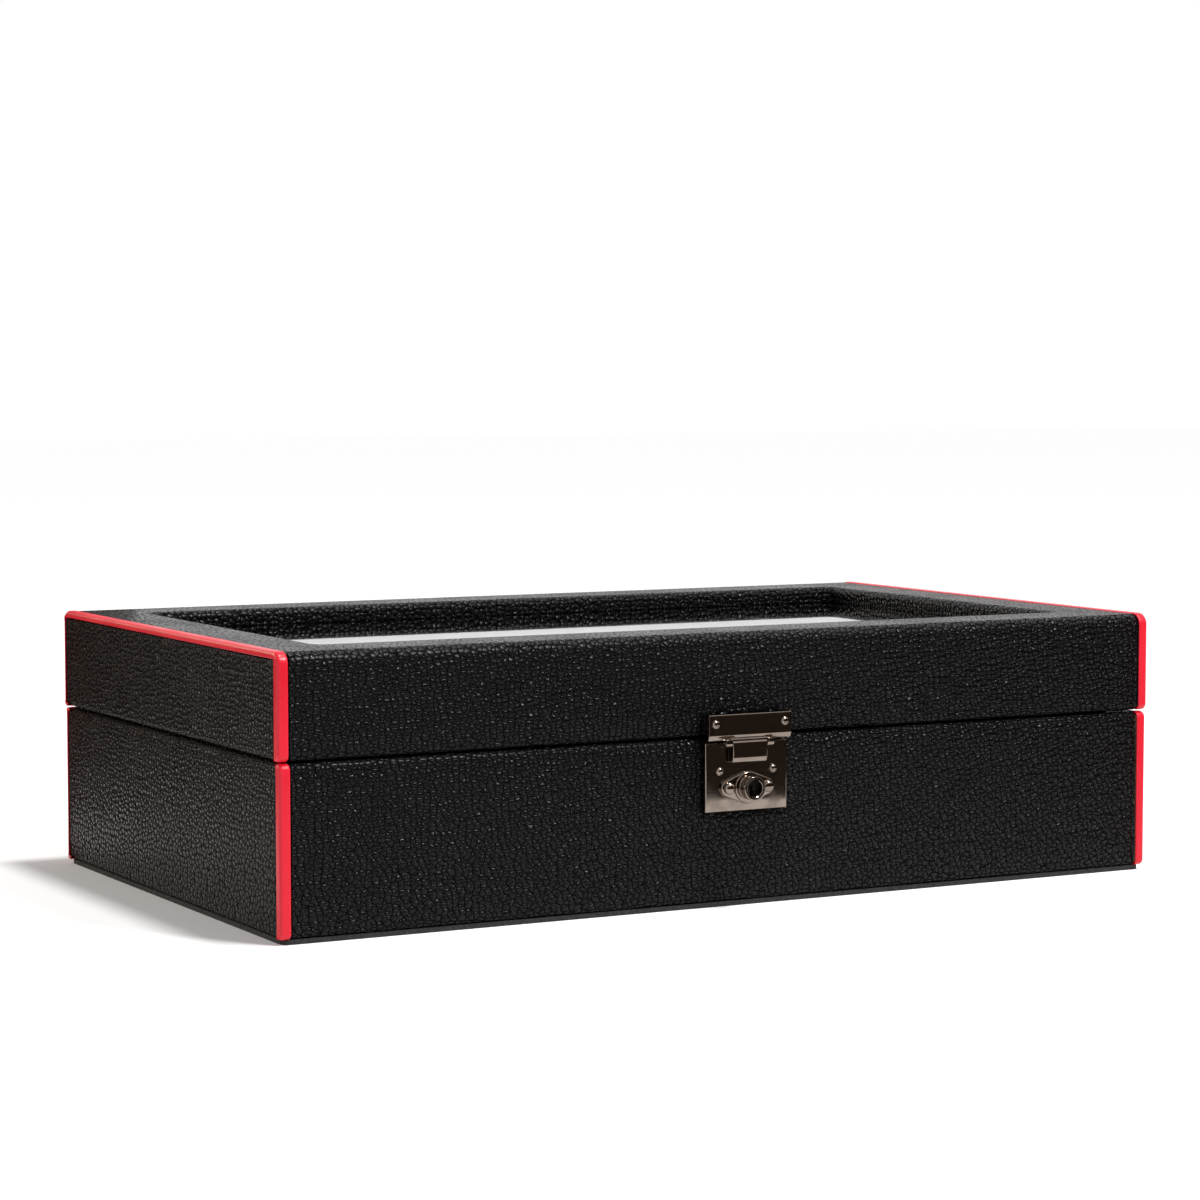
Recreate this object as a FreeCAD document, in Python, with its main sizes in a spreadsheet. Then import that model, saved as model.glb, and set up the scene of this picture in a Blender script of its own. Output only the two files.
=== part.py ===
import FreeCAD, Part
import Sketcher
import math
import os
import re

# Leather-covered watch box with a glass lid and a slide lock, in millimetres.
# X runs along the length, Y from front to back and Z up.
# The origin is the centre of the underside.

os.makedirs("parts", exist_ok=True)
doc = FreeCAD.newDocument("watch_box")
sheet = doc.addObject("Spreadsheet::Sheet", "dims")

DIMENSIONS = (
    ("lid_length", 330.0, "lid, end to end over the piping"),
    ("body_length", 329.0, "body, end to end over the piping"),
    ("width", 195.0, "front to back over the piping"),
    ("height", 90.5, "underside to the top of the lid"),
    ("gap_height", 56.3, "middle of the gap between body and lid"),
    ("gap", 0.5, "gap between the two rims"),
    ("leather", 1.2, "leather thickness"),
    ("proud", 0.2, "piping above the leather"),
    ("body_board", 8.0, "thickness of the body's boards"),
    ("lid_board", 7.0, "thickness of the lid's upright boards"),
    ("rabbet", 4.0, "rabbet at the ends of the long boards"),
    ("rim_round", 2.2, "rounding of the leather at the rims"),
    ("foot_round", 2.0, "rounding of the leather at the foot"),
    ("top_round", 4.0, "rounding of the long top edges"),
    ("base_thickness", 1.6, "base sheet"),
    ("base_inset", 1.0, "base sheet, back from the faces"),
    ("base_corner", 3.0, "base sheet, corner radius"),
    ("floor_thickness", 4.0, "floor board"),
    ("pad_thickness", 2.0, "suede pad on the floor"),
    ("lining_thickness", 1.8, "suede-covered card round the inside"),
    ("lip_height", 4.0, "lining above the body's rim"),
    ("lining_edge", 0.8, "rounding of the lining's top edge"),
    ("piping_width", 3.6, "piping, across each face"),
    ("piping_thickness", 1.4, "piping, outer face to board"),
    ("piping_bevel", 0.9, "bevel of the piping's outer edge"),
    ("groove", 0.3, "groove between piping and leather"),
    ("frame_width", 24.0, "lid frame, outer face to window"),
    ("window_corner", 2.5, "plan radius of the window's corners"),
    ("window_round", 2.5, "rounding of the leather into the window"),
    ("glass_drop", 6.2, "top of the lid down to the glass"),
    ("glass_thickness", 2.5, "glass pane"),
    ("glass_lap", 8.0, "glass under the frame on each side"),
    ("glass_play", 0.2, "glass to the rebate that holds it"),
    ("retainer_lip", 2.0, "suede frame under the glass"),
    ("retainer_reveal", 2.0, "suede frame back from the window's edge"),
    ("retainer_edge", 0.8, "rounding of the suede frame"),
    ("divider_thickness", 3.0, "dividers"),
    ("divider_top", 52.0, "top of the dividers"),
    ("divider_cross", 30.0, "height at which the two dividers interlock"),
    ("divider_play", 0.1, "dividers to the lining and in their slots"),
    ("cells_long", 6.0, "watch places along the length"),
    ("pillow_width", 46.0, "pillow along the box's length"),
    ("pillow_length", 80.0, "pillow from front to back"),
    ("pillow_height", 38.5, "pillow, underside to crown"),
    ("pillow_crown", 80.0, "radius of the pillow's crown"),
    ("pillow_side", 20.0, "radius of the pillow's upper sides"),
    ("pillow_clearance", 0.3, "pillow above the floor pad"),
    ("lock_plate_width", 31.0, "lock plate"),
    ("lock_plate_low", 31.8, "lower edge of the lock plate"),
    ("lock_plate_high", 54.5, "upper edge of the lock plate"),
    ("lock_plate_depth", 2.2, "lock plate, face to leather"),
    ("lock_sheet", 0.8, "sheet of the lock plate"),
    ("plate_edge", 0.35, "rounding of the plates' front edges"),
    ("lock_rivet_height", 45.1, "rivets of the lock plate"),
    ("lock_rivet_spacing", 20.1, "rivets of the lock plate, apart"),
    ("rivet_head", 1.3, "rivet head radius"),
    ("rivet_dome", 0.8, "rivet head height"),
    ("rivet_round", 0.5, "rounding-off of the rivet head"),
    ("lock_height", 39.5, "axis of the key barrel"),
    ("slide_travel", 3.0, "travel of the lock's slider"),
    ("slide_play", 0.05, "slider to the plate"),
    ("neck_radius", 3.2, "neck of the barrel through the plate"),
    ("flange_thickness", 1.2, "sliding flange"),
    ("flange_middle", 5.4, "radius of the flange's middle"),
    ("flange_lobe", 2.7, "radius of the flange's ends"),
    ("flange_edge", 0.3, "rounding of the flange's edge"),
    ("boss_radius", 5.2, "raised boss round the barrel"),
    ("boss_height", 2.0, "boss above the plate"),
    ("stud_spacing", 14.6, "finger studs, apart"),
    ("stud_radius", 1.95, "finger stud"),
    ("stud_round", 0.9, "rounding-off of the finger stud"),
    ("stud_height", 3.0, "finger stud above the plate"),
    ("barrel_radius", 4.0, "key barrel"),
    ("barrel_reach", 5.8, "key barrel, mouth to plate"),
    ("bore_radius", 2.75, "bore of the key barrel"),
    ("tail_bore", 2.0, "bore at the barrel's tail"),
    ("inner_lip", 3.15, "outer radius of the mouth's inner ring"),
    ("lip_groove", 3.35, "groove in the mouth"),
    ("lip_groove_depth", 0.5, "depth of that groove"),
    ("outer_lip", 3.55, "inner radius of the mouth's outer ring"),
    ("plug_play", 0.05, "key plug to its bore"),
    ("plug_depth", 2.3, "key plug behind the barrel's mouth"),
    ("key_slot", 1.2, "slot for the key's bit"),
    ("key_slot_depth", 2.0, "depth of the key slot"),
    ("bore_pin", 0.65, "pin in the middle of the key plug"),
    ("bore_pin_depth", 1.0, "that pin behind the barrel's mouth"),
    ("bolt_thickness", 0.5, "latch bolt"),
    ("bolt_play", 0.1, "latch bolt to the plate"),
    ("bolt_nose", 2.4, "drawn-back nose, from the middle"),
    ("bolt_right", 5.6, "right edge of the bolt"),
    ("bolt_left", 4.4, "left edge of the bolt, from the middle"),
    ("bolt_low", 35.0, "lower edge of the bolt"),
    ("bolt_shoulder", 46.2, "top of the bolt's wide part"),
    ("bolt_high", 51.2, "top of the bolt's arm"),
    ("bolt_tab", 0.8, "bolt's spring tab, thickness"),
    ("bolt_tab_place", 1.0, "spring tab, from the middle"),
    ("bolt_tab_low", 43.2, "lower edge of the spring tab"),
    ("bolt_tab_reach", 3.0, "spring tab behind the leather's face"),
    ("case_half_width", 8.4, "lock case, half width"),
    ("case_low", 34.2, "lock case, lower edge"),
    ("case_high", 47.4, "lock case, upper edge"),
    ("case_depth", 6.2, "lock case behind the leather's face"),
    ("case_wall", 0.6, "lock case, wall"),
    ("case_play", 0.05, "lock case to its mortise"),
    ("spring_strip", 0.3, "bolt spring, strip thickness"),
    ("spring_width", 2.6, "bolt spring, strip width"),
    ("spring_inset", 0.3, "bolt spring behind the leather's face"),
    ("spring_bend", 39.0, "height where the spring's legs start to bend"),
    ("spring_top", 46.0, "top of the spring's legs"),
    ("notch_half_width", 2.5, "notch for the staple, half width"),
    ("notch_low", 48.3, "lower end of the notch"),
    ("hasp_plate_width", 31.2, "hasp plate"),
    ("hasp_plate_low", 55.5, "lower edge of the hasp plate"),
    ("hasp_plate_high", 64.0, "upper edge of the hasp plate"),
    ("hasp_plate_depth", 4.8, "hasp plate, face to leather"),
    ("hasp_sheet", 1.0, "wall of the hasp plate"),
    ("hasp_bevel", 1.2, "bevel on the lower edges"),
    ("hasp_standoff", 0.45, "hasp plate clear of the body's leather"),
    ("hasp_rivet_height", 60.9, "rivets of the hasp plate"),
    ("hasp_rivet_spacing", 26.2, "rivets of the hasp plate, apart"),
    ("hasp_half_width", 6.5, "hasp, half width"),
    ("hasp_low", 48.0, "lower edge of the hasp"),
    ("hasp_thickness", 2.4, "hasp, front to back"),
    ("hasp_axis", 54.2, "height of the hasp's pin"),
    ("ear_width", 2.4, "hinge ear of the hasp plate"),
    ("ear_play", 0.2, "hasp to each ear"),
    ("hasp_pin_radius", 0.55, "hasp pin"),
    ("pin_play", 0.05, "moving knuckle to its pin"),
    ("staple_half_width", 2.0, "staple, half width"),
    ("staple_low", 49.6, "lower edge of the staple"),
    ("staple_high", 52.0, "upper edge of the staple"),
    ("staple_neck", 0.8, "right edge of the staple's neck"),
    ("staple_head", 0.45, "thickness of the staple's head"),
    ("staple_clear", 0.3, "staple clear of the leather"),
    ("hinge_place", 100.0, "middle of each rear hinge, from the centre"),
    ("hinge_width", 30.0, "rear hinge"),
    ("hinge_back", 2.8, "hinge axis behind the rear face"),
    ("knuckle_radius", 2.4, "hinge knuckle"),
    ("knuckle_middle", 10.2, "middle knuckle"),
    ("knuckle_gap", 0.15, "gap between knuckles"),
    ("leaf_thickness", 1.2, "hinge leaf"),
    ("leaf_reach", 6.9, "blade of the leaf, in from the rear face"),
    ("leaf_drop", 7.0, "outer edge of a leaf, from the hinge axis"),
    ("leaf_clear", 2.7, "leaf clear of the other leaf's knuckles"),
    ("leaf_play", 0.1, "blade to its kerf"),
    ("hinge_pin_radius", 1.0, "hinge pin"),
    ("hinge_pin_over", 0.3, "hinge pin past the knuckles"),
    ("stop_tab_reach", 5.5, "stop tab behind the hinge axis"),
    ("stop_tab_under", 1.2, "stop tab below the hinge axis"),
    ("stop_tab_over", 0.4, "stop tab above the hinge axis"),
)

ALIASES = {alias for alias, number, note in DIMENSIONS}

# Places that many pieces share, as expressions over the sheet's aliases
BODY_END = "body_length / 2"
LID_END = "lid_length / 2"
SIDE = "width / 2"
BODY_BOARD_END = f"{BODY_END} - piping_thickness"
LID_BOARD_END = f"{LID_END} - piping_thickness"
BOARD_SIDE = f"{SIDE} - piping_thickness"
BODY_INSIDE_END = f"{BODY_BOARD_END} - body_board"
BODY_INSIDE_SIDE = f"{BOARD_SIDE} - body_board"
LID_INSIDE_END = f"{LID_BOARD_END} - lid_board"
LID_INSIDE_SIDE = f"{BOARD_SIDE} - lid_board"
FOOT = "base_thickness"
BOARD_FOOT = "base_thickness + leather"
RIM = "gap_height - gap / 2"
BOARD_RIM = f"{RIM} - leather"
LID_RIM = "gap_height + gap / 2"
LID_BOARD_RIM = f"{LID_RIM} + leather"
LID_BOARD_TOP = "height - piping_thickness"
GLASS_TOP = "height - glass_drop"
FLOOR = "base_thickness + floor_thickness"
CELL_FLOOR = f"{FLOOR} + pad_thickness"
CELL_END = f"{BODY_INSIDE_END} - lining_thickness"
CELL_SIDE = f"{BODY_INSIDE_SIDE} - lining_thickness"
CELL_PITCH = f"(2 * ({CELL_END}) + divider_thickness) / cells_long"
WINDOW_END = f"{LID_END} - frame_width"
WINDOW_SIDE = f"{SIDE} - frame_width"
FACE = f"-({SIDE}) + proud"
LOCK_FACE = f"{FACE} - lock_plate_depth"
SLIDER_BACK = f"{LOCK_FACE} - slide_play"
HASP_FACE = f"{FACE} - hasp_plate_depth"
HASP_AXIS_Y = f"{HASP_FACE} + hasp_thickness / 2"
HINGE_Y = f"{SIDE} + hinge_back"


def fill_sheet():
    """Put every driving dimension in the sheet, with its note beside it."""
    for row, (alias, number, note) in enumerate(DIMENSIONS, 1):
        sheet.set(f"A{row}", note)
        sheet.set(f"B{row}", str(number))
        sheet.setAlias(f"B{row}", alias)
    doc.recompute()


def bound(text):
    """The expression with each alias pointed at the sheet."""
    return re.sub(r"[a-z][a-z0-9_]*", lambda word: f"dims.{word.group()}"
                  if word.group() in ALIASES else word.group(), text)


def value(text):
    """The number that an expression gives."""
    return float(sheet.evalExpression(bound(text)))


def rectangle(left, right, low, high, radius=None):
    """Corners of a rectangle, all with one radius if it is given."""
    corners = [(left, low), (right, low), (right, high), (left, high)]
    return [corner + (radius,) for corner in corners] if radius else corners


def centred(half_x, half_y, radius=None):
    """Corners of a rectangle about the origin."""
    return rectangle(f"-({half_x})", half_x, f"-({half_y})", half_y, radius)


def rounded(corners):
    """The path round square corners, with an arc at each corner that has a radius.

    A path is a list of (x, y, radius, side). The radius and side are those of the arc
    that leaves this point, with its centre to the left (1) or right (-1) of the way."""
    places = [(value(corner[0]), value(corner[1])) for corner in corners]
    path = []
    for index, corner in enumerate(corners):
        x, y = corner[:2]
        if len(corner) < 3:
            path.append((x, y, None, 0))
            continue
        before = places[index - 1]
        here = places[index]
        after = places[(index + 1) % len(corners)]
        come = [math.copysign(1, b - a) if abs(b - a) > 1e-6 else 0 for a, b in zip(before, here)]
        leave = [math.copysign(1, b - a) if abs(b - a) > 1e-6 else 0 for a, b in zip(here, after)]
        turn = come[0] * leave[1] - come[1] * leave[0]
        radius = corner[2]
        start = [f"({place}) - {step:g} * ({radius})" for place, step in zip((x, y), come)]
        end = [f"({place}) + {step:g} * ({radius})" for place, step in zip((x, y), leave)]
        path.append((start[0], start[1], radius, turn))
        path.append((end[0], end[1], None, 0))
    return path


def stadium(left, right, height, radius):
    """Path of a slot with round ends, each end two quarter arcs."""
    low, high = f"({height}) - ({radius})", f"({height}) + ({radius})"
    return [
        (left, low, None, 0),
        (right, low, radius, 1),
        (f"({right}) + ({radius})", height, radius, 1),
        (right, high, None, 0),
        (left, high, radius, 1),
        (f"({left}) - ({radius})", height, radius, 1),
    ]


def circle(x, y, radius):
    return ("circle", x, y, radius)


def hold(sketch, kind, geometry, point, expression):
    """Constrain a point's distance from the sketch's origin to an expression."""
    number = sketch.addConstraint(
        Sketcher.Constraint(kind, -1, 1, geometry, point, value(expression)))
    sketch.setExpression(f"Constraints[{number}]", bound(expression))


def hold_radius(sketch, geometry, expression):
    number = sketch.addConstraint(Sketcher.Constraint("Radius", geometry, value(expression)))
    sketch.setExpression(f"Constraints[{number}]", bound(expression))


def arc_between(start, end, radius, side):
    """Arc under half a circle from start to end, its centre on the given side."""
    chord = end - start
    reach = math.sqrt(max(radius ** 2 - (chord.Length / 2) ** 2, 0))
    across = FreeCAD.Vector(-chord.y, chord.x, 0).normalize()
    centre = (start + end) / 2 + across * (side * reach)
    first, last = (start, end) if side > 0 else (end, start)
    angles = [math.atan2(point.y - centre.y, point.x - centre.x) for point in (first, last)]
    return Part.ArcOfCircle(Part.Circle(centre, FreeCAD.Vector(0, 0, 1), radius), *angles)


def draw_path(sketch, path):
    """Closed outline through the path's points, each held by two expressions."""
    points = [FreeCAD.Vector(value(x), value(y), 0) for x, y, radius, side in path]
    ends = []
    for index, (x, y, radius, side) in enumerate(path):
        start, end = points[index], points[(index + 1) % len(path)]
        if radius is None:
            geometry = sketch.addGeometry(Part.LineSegment(start, end))
            first, last = 1, 2
        else:
            geometry = sketch.addGeometry(arc_between(start, end, value(radius), side))
            first, last = (1, 2) if side > 0 else (2, 1)
            hold_radius(sketch, geometry, radius)
        hold(sketch, "DistanceX", geometry, first, x)
        hold(sketch, "DistanceY", geometry, first, y)
        ends.append((geometry, first, last))
    for index, (geometry, first, last) in enumerate(ends):
        following, entry = ends[(index + 1) % len(ends)][:2]
        sketch.addConstraint(Sketcher.Constraint("Coincident", geometry, last, following, entry))


def draw(sketch, loops):
    """Draw circles, square-cornered outlines and paths."""
    for loop in loops:
        if loop[0] == "circle":
            x, y, radius = loop[1:]
            centre = FreeCAD.Vector(value(x), value(y), 0)
            geometry = sketch.addGeometry(
                Part.Circle(centre, FreeCAD.Vector(0, 0, 1), value(radius)))
            hold(sketch, "DistanceX", geometry, 3, x)
            hold(sketch, "DistanceY", geometry, 3, y)
            hold_radius(sketch, geometry, radius)
        elif len(loop[0]) == 4:
            draw_path(sketch, loop)
        else:
            draw_path(sketch, rounded(loop))


def flat_at(axis, place):
    """Test for an edge that lies in the plane where the axis has this value."""
    number = value(place)

    def test(edge):
        box = edge.BoundBox
        low, high = getattr(box, f"{axis}Min"), getattr(box, f"{axis}Max")
        return abs(low - number) < 1e-3 and abs(high - number) < 1e-3
    return test


def both(*tests):
    return lambda edge: all(test(edge) for test in tests)


def either(*tests):
    return lambda edge: any(test(edge) for test in tests)


def along(axis):
    """Test for a straight edge along the axis."""
    def test(edge):
        box = edge.BoundBox
        spread = {name: getattr(box, f"{name}Length") for name in "XYZ"}
        return all((spread[name] > 0.01) == (name == axis) for name in "XYZ")
    return test


pieces = []


class Piece:
    """One sub-part: a body whose sketches and features follow the sheet.

    A pad or pocket is given as the outline seen along an axis, the low end of its
    stretch on that axis, and its length. Outlines on the XZ plane are (x, z) pairs,
    on the YZ plane (y, z) pairs and on the XY plane (x, y) pairs."""

    def __init__(self, label):
        self.body = doc.addObject("PartDesign::Body", label)
        self.body.Label = label
        self.count = 0
        pieces.append(self.body)

    def name(self, word):
        self.count += 1
        return f"{self.body.Label}_{word}_{self.count}"

    def sketch(self, plane, loops, offset, shift=("0", "0")):
        sketch = self.body.newObject("Sketcher::SketchObject", self.name("sketch"))
        role = f"{plane}_Plane"
        base = next(item for item in self.body.Origin.OriginFeatures if item.Role == role)
        sketch.AttachmentSupport = [(base, "")]
        sketch.MapMode = "FlatFace"
        for axis, text in zip("xyz", (*shift, offset)):
            sketch.setExpression(f"AttachmentOffset.Base.{axis}", bound(text))
        draw(sketch, loops)
        return sketch

    def feature(self, kind, sketch, length):
        """Add a pad or a pocket of this length."""
        made = self.body.newObject(f"PartDesign::{kind}", self.name(kind.lower()))
        made.Profile = sketch
        made.setExpression("Length", bound(length))
        sketch.Visibility = False
        doc.recompute()
        return made

    def pad(self, plane, loops, low, length, shift=("0", "0")):
        offset = f"-({low}) - ({length})" if plane == "XZ" else low
        self.feature("Pad", self.sketch(plane, loops, offset, shift), length)
        return self

    def pocket(self, plane, loops, low, length):
        before = self.body.Shape.Volume
        offset = f"-({low})" if plane == "XZ" else f"({low}) + ({length})"
        self.feature("Pocket", self.sketch(plane, loops, offset), length)
        if self.body.Shape.Volume > before - 1e-6:
            raise RuntimeError(f"{self.body.Label}: a pocket cut nothing")
        return self

    def revolve(self, plane, path, offset, shift):
        """Turn an outline about the sketch's own horizontal axis."""
        sketch = self.sketch(plane, [path], offset, shift)
        turned = self.body.newObject("PartDesign::Revolution", self.name("turned"))
        turned.Profile = sketch
        turned.ReferenceAxis = (sketch, ["H_Axis"])
        turned.Angle = 360
        sketch.Visibility = False
        doc.recompute()
        return self

    def dress(self, kind, setting, size, test):
        """Fillet or chamfer every edge of the piece that passes the test."""
        tip = self.body.Tip
        chosen = [f"Edge{number}" for number, edge in enumerate(tip.Shape.Edges, 1) if test(edge)]
        if not chosen:
            raise RuntimeError(f"{self.body.Label}: no edge to dress")
        made = self.body.newObject(f"PartDesign::{kind}", self.name(kind.lower()))
        made.Base = (tip, chosen)
        made.setExpression(setting, bound(size))
        doc.recompute()
        return self

    def fillet(self, radius, test):
        return self.dress("Fillet", "Radius", radius, test)

    def chamfer(self, size, test):
        return self.dress("Chamfer", "Size", size, test)

    def mirror(self):
        """Repeat the last feature on the other side of the YZ plane."""
        last = self.body.Tip
        mirrored = self.body.newObject("PartDesign::Mirrored", self.name("mirrored"))
        mirrored.Originals = [last]
        base = next(item for item in self.body.Origin.OriginFeatures if item.Role == "YZ_Plane")
        mirrored.MirrorPlane = (base, [""])
        self.body.Tip = mirrored
        doc.recompute()
        return self


# Body

def base_sheet():
    outline = centred(f"{BODY_END} - base_inset", f"{SIDE} - base_inset", "base_corner")
    Piece("base_sheet").pad("XY", [outline], "0", "base_thickness")


def body_floor_board():
    outline = centred(BODY_INSIDE_END, BODY_INSIDE_SIDE)
    Piece("body_floor_board").pad("XY", [outline], FOOT, "floor_thickness")


def body_long_board(label, way):
    """Front (way -1) or rear (way 1) board, rabbeted at its ends for the end boards."""
    outer, inner = f"{way} * ({BOARD_SIDE})", f"{way} * ({BODY_INSIDE_SIDE})"
    piece = Piece(label)
    piece.pad("YZ", [rectangle(inner, outer, BOARD_FOOT, BOARD_RIM)], f"-({BODY_BOARD_END})",
              f"2 * ({BODY_BOARD_END})")
    step = f"{way} * ({BODY_INSIDE_SIDE} + rabbet)"
    rabbets = [rectangle(f"{end} * ({BODY_INSIDE_END})", f"{end} * ({BODY_BOARD_END})", inner, step)
               for end in (-1, 1)]
    piece.pocket("XY", rabbets, BOARD_FOOT, f"{BOARD_RIM} - ({BOARD_FOOT})")
    return piece


def lock_mortise():
    """Outline of the recess for the lock case, seen from the front."""
    return rectangle("-case_half_width - case_play", "case_half_width + case_play",
                     "case_low - case_play", "case_high + case_play")


def kerfs(way):
    """Saw kerfs for the two hinge blades, below (way -1) or above (way 1) the axis."""
    half = "(hinge_width / 2 + leaf_play)"
    heights = sorted((f"gap_height + {way} * (leaf_drop + leaf_play)",
                      f"gap_height + {way} * (leaf_drop - leaf_thickness - leaf_play)"), key=value)
    return [rectangle(f"{side} * hinge_place - {half}", f"{side} * hinge_place + {half}", *heights)
            for side in (-1, 1)]


def cut_kerfs(piece, way):
    piece.pocket("XZ", kerfs(way), f"{SIDE} - leaf_reach - leaf_play", "leaf_reach + leaf_play")


def body_boards():
    front = body_long_board("body_front_board", -1)
    board_face = f"-({BOARD_SIDE})"
    front.pocket("XZ", [lock_mortise()], board_face,
                 f"{FACE} + case_depth + case_play - ({board_face})")
    cut_kerfs(body_long_board("body_rear_board", 1), -1)
    for label, way in (("body_left_board", -1), ("body_right_board", 1)):
        outer, inner = f"{way} * ({BODY_BOARD_END})", f"{way} * ({BODY_INSIDE_END})"
        reach = f"{BODY_INSIDE_SIDE} + rabbet"
        Piece(label).pad("XZ", [rectangle(inner, outer, BOARD_FOOT, BOARD_RIM)], f"-({reach})",
                         f"2 * ({reach})")


def body_cover_section(face, board, inside):
    """Leather tucked under the foot, up the face and over the rim."""
    return [
        (inside, FOOT),
        (face, FOOT, "foot_round"),
        (face, RIM, "rim_round"),
        (inside, RIM),
        (inside, BOARD_RIM),
        (board, BOARD_RIM),
        (board, BOARD_FOOT),
        (inside, BOARD_FOOT),
    ]


def trim_end_cover(piece, way, inside, end, low, high):
    """Cut the end leather's folds back to where the long sides' leather stops."""
    stop = f"{way} * ({end} - piping_width - groove)"
    folds = [rectangle(inside, stop, f"{side} * ({BODY_INSIDE_SIDE})", f"{side} * ({SIDE})")
             for side in (-1, 1)]
    piece.pocket("XY", folds, low, f"{high} - ({low})")


def body_covers():
    covers = {}
    for label, way in (("body_front_cover", -1), ("body_rear_cover", 1)):
        section = body_cover_section(f"{way} * ({SIDE} - proud)", f"{way} * ({BOARD_SIDE})",
                                     f"{way} * ({BODY_INSIDE_SIDE})")
        reach = f"{BODY_END} - piping_width - groove"
        covers[way] = Piece(label).pad("YZ", [section], f"-({reach})", f"2 * ({reach})")
    covers[-1].pocket("XZ", [lock_mortise()], FACE, "leather")
    cut_kerfs(covers[1], -1)
    for label, way in (("body_left_cover", -1), ("body_right_cover", 1)):
        inside = f"{way} * ({BODY_INSIDE_END})"
        section = body_cover_section(f"{way} * ({BODY_END} - proud)", f"{way} * ({BODY_BOARD_END})",
                                     inside)
        reach = f"{SIDE} - piping_width - groove"
        piece = Piece(label).pad("XZ", [section], f"-({reach})", f"2 * ({reach})")
        trim_end_cover(piece, way, inside, BODY_END, FOOT, RIM)


def body_piping(label, way):
    """Two red corner strips that fold over the rim and under the foot."""
    outer, inner = f"{way} * ({BODY_END})", f"{way} * ({BODY_END} - piping_width)"
    board = f"{way} * ({BODY_BOARD_END})"
    low = inner if way > 0 else outer
    backs = [f"{side} * ({SIDE} - piping_width)" for side in (-1, 1)]
    piece = Piece(label)
    for side, back in zip((-1, 1), backs):
        face = f"{side} * ({SIDE})"
        outline = [
            (back, FOOT),
            (face, FOOT, "foot_round"),
            (face, RIM, "rim_round"),
            (back, RIM),
        ]
        piece.pad("YZ", [outline], low, "piping_width")
    back_edges = either(flat_at("Y", backs[0]), flat_at("Y", backs[1]))
    piece.chamfer("piping_bevel", both(flat_at("X", outer), lambda edge: not back_edges(edge)))
    hollow = [rectangle(inner, board, back, f"{side} * ({BOARD_SIDE})")
              for side, back in zip((-1, 1), backs)]
    piece.pocket("XY", hollow, BOARD_FOOT, f"{BOARD_RIM} - ({BOARD_FOOT})")


def body_lining():
    """Suede-covered card round the inside, with a lip that stands up into the lid."""
    piece = Piece("body_lining")
    top = f"{RIM} + lip_height"
    piece.pad("XY", [centred(BODY_INSIDE_END, BODY_INSIDE_SIDE), centred(CELL_END, CELL_SIDE)],
              FLOOR, f"{top} - ({FLOOR})")
    piece.fillet("lining_edge", flat_at("Z", top))


def floor_pad():
    outline = centred(f"{CELL_END} - divider_play", f"{CELL_SIDE} - divider_play")
    Piece("floor_pad").pad("XY", [outline], FLOOR, "pad_thickness")


def divider_long():
    """The divider along the box, slotted from above for the five cross dividers."""
    end = f"{CELL_END} - divider_play"
    half_slot = "(divider_thickness / 2 + divider_play / 2)"
    outline = [(f"-({end})", CELL_FLOOR), (end, CELL_FLOOR), (end, "divider_top")]
    for place in (2, 1, 0, -1, -2):
        middle = f"{place} * {CELL_PITCH}"
        outline.append((f"{middle} + {half_slot}", "divider_top"))
        outline.append((f"{middle} + {half_slot}", "divider_cross"))
        outline.append((f"{middle} - {half_slot}", "divider_cross"))
        outline.append((f"{middle} - {half_slot}", "divider_top"))
    outline.append((f"-({end})", "divider_top"))
    Piece("divider_long").pad("XZ", [outline], "-divider_thickness / 2", "divider_thickness")


def cross_dividers():
    """Five dividers across the box, slotted from below for the long one."""
    side = f"{CELL_SIDE} - divider_play"
    half_slot = "(divider_thickness / 2 + divider_play / 2)"
    outline = [
        (f"-({side})", CELL_FLOOR),
        (f"-{half_slot}", CELL_FLOOR),
        (f"-{half_slot}", "divider_cross"),
        (half_slot, "divider_cross"),
        (half_slot, CELL_FLOOR),
        (side, CELL_FLOOR),
        (side, "divider_top"),
        (f"-({side})", "divider_top"),
    ]
    piece = Piece("cross_dividers")
    for place in (-2, -1, 0, 1, 2):
        piece.pad("YZ", [outline], f"{place} * {CELL_PITCH} - divider_thickness / 2",
                  "divider_thickness")


# Pillows

def pillow_path():
    """Cross-section of a pillow: flat foot, round sides and a crowned top, all tangent."""
    lean = "((pillow_length / 2 - pillow_side) / (pillow_crown - pillow_side))"
    rise = f"sqrt(1 - {lean} ^ 2)"
    shoulder = f"(pillow_crown * {lean})"
    shoulder_height = f"pillow_height - pillow_crown * (1 - {rise})"
    waist = f"(pillow_height - pillow_crown + (pillow_crown - pillow_side) * {rise})"
    foot = f"(pillow_length / 2 - {waist})"
    return [
        (f"-{foot}", "0", None, 0),
        (foot, "0", waist, 1),
        ("pillow_length / 2", waist, "pillow_side", 1),
        (shoulder, shoulder_height, "pillow_crown", 1),
        (f"-{shoulder}", shoulder_height, "pillow_side", 1),
        ("-pillow_length / 2", waist, waist, 1),
    ]


def pillows():
    """Twelve watch pillows, two rows of six, numbered from the front left."""
    half = "pillow_width / 2"
    for number in range(12):
        row, column = divmod(number, 6)
        middle = f"({column} - 2.5) * {CELL_PITCH}"
        across = f"({row} * 2 - 1) * ({CELL_SIDE} + divider_thickness / 2) / 2"
        piece = Piece(f"pillow_{number + 1}")
        piece.pad("YZ", [pillow_path()], f"{middle} - {half}", "pillow_width",
                  (across, f"{CELL_FLOOR} + pillow_clearance"))


# Lock on the body

def rivets(piece, face, height, spacing):
    """Two rivet heads side by side on a plate's face."""
    front = f"{face} - rivet_dome"
    heads = [circle(f"{side} * {spacing} / 2", height, "rivet_head") for side in (-1, 1)]
    piece.pad("XZ", heads, front, "rivet_dome")
    piece.chamfer("rivet_round", flat_at("Y", front))


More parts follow.
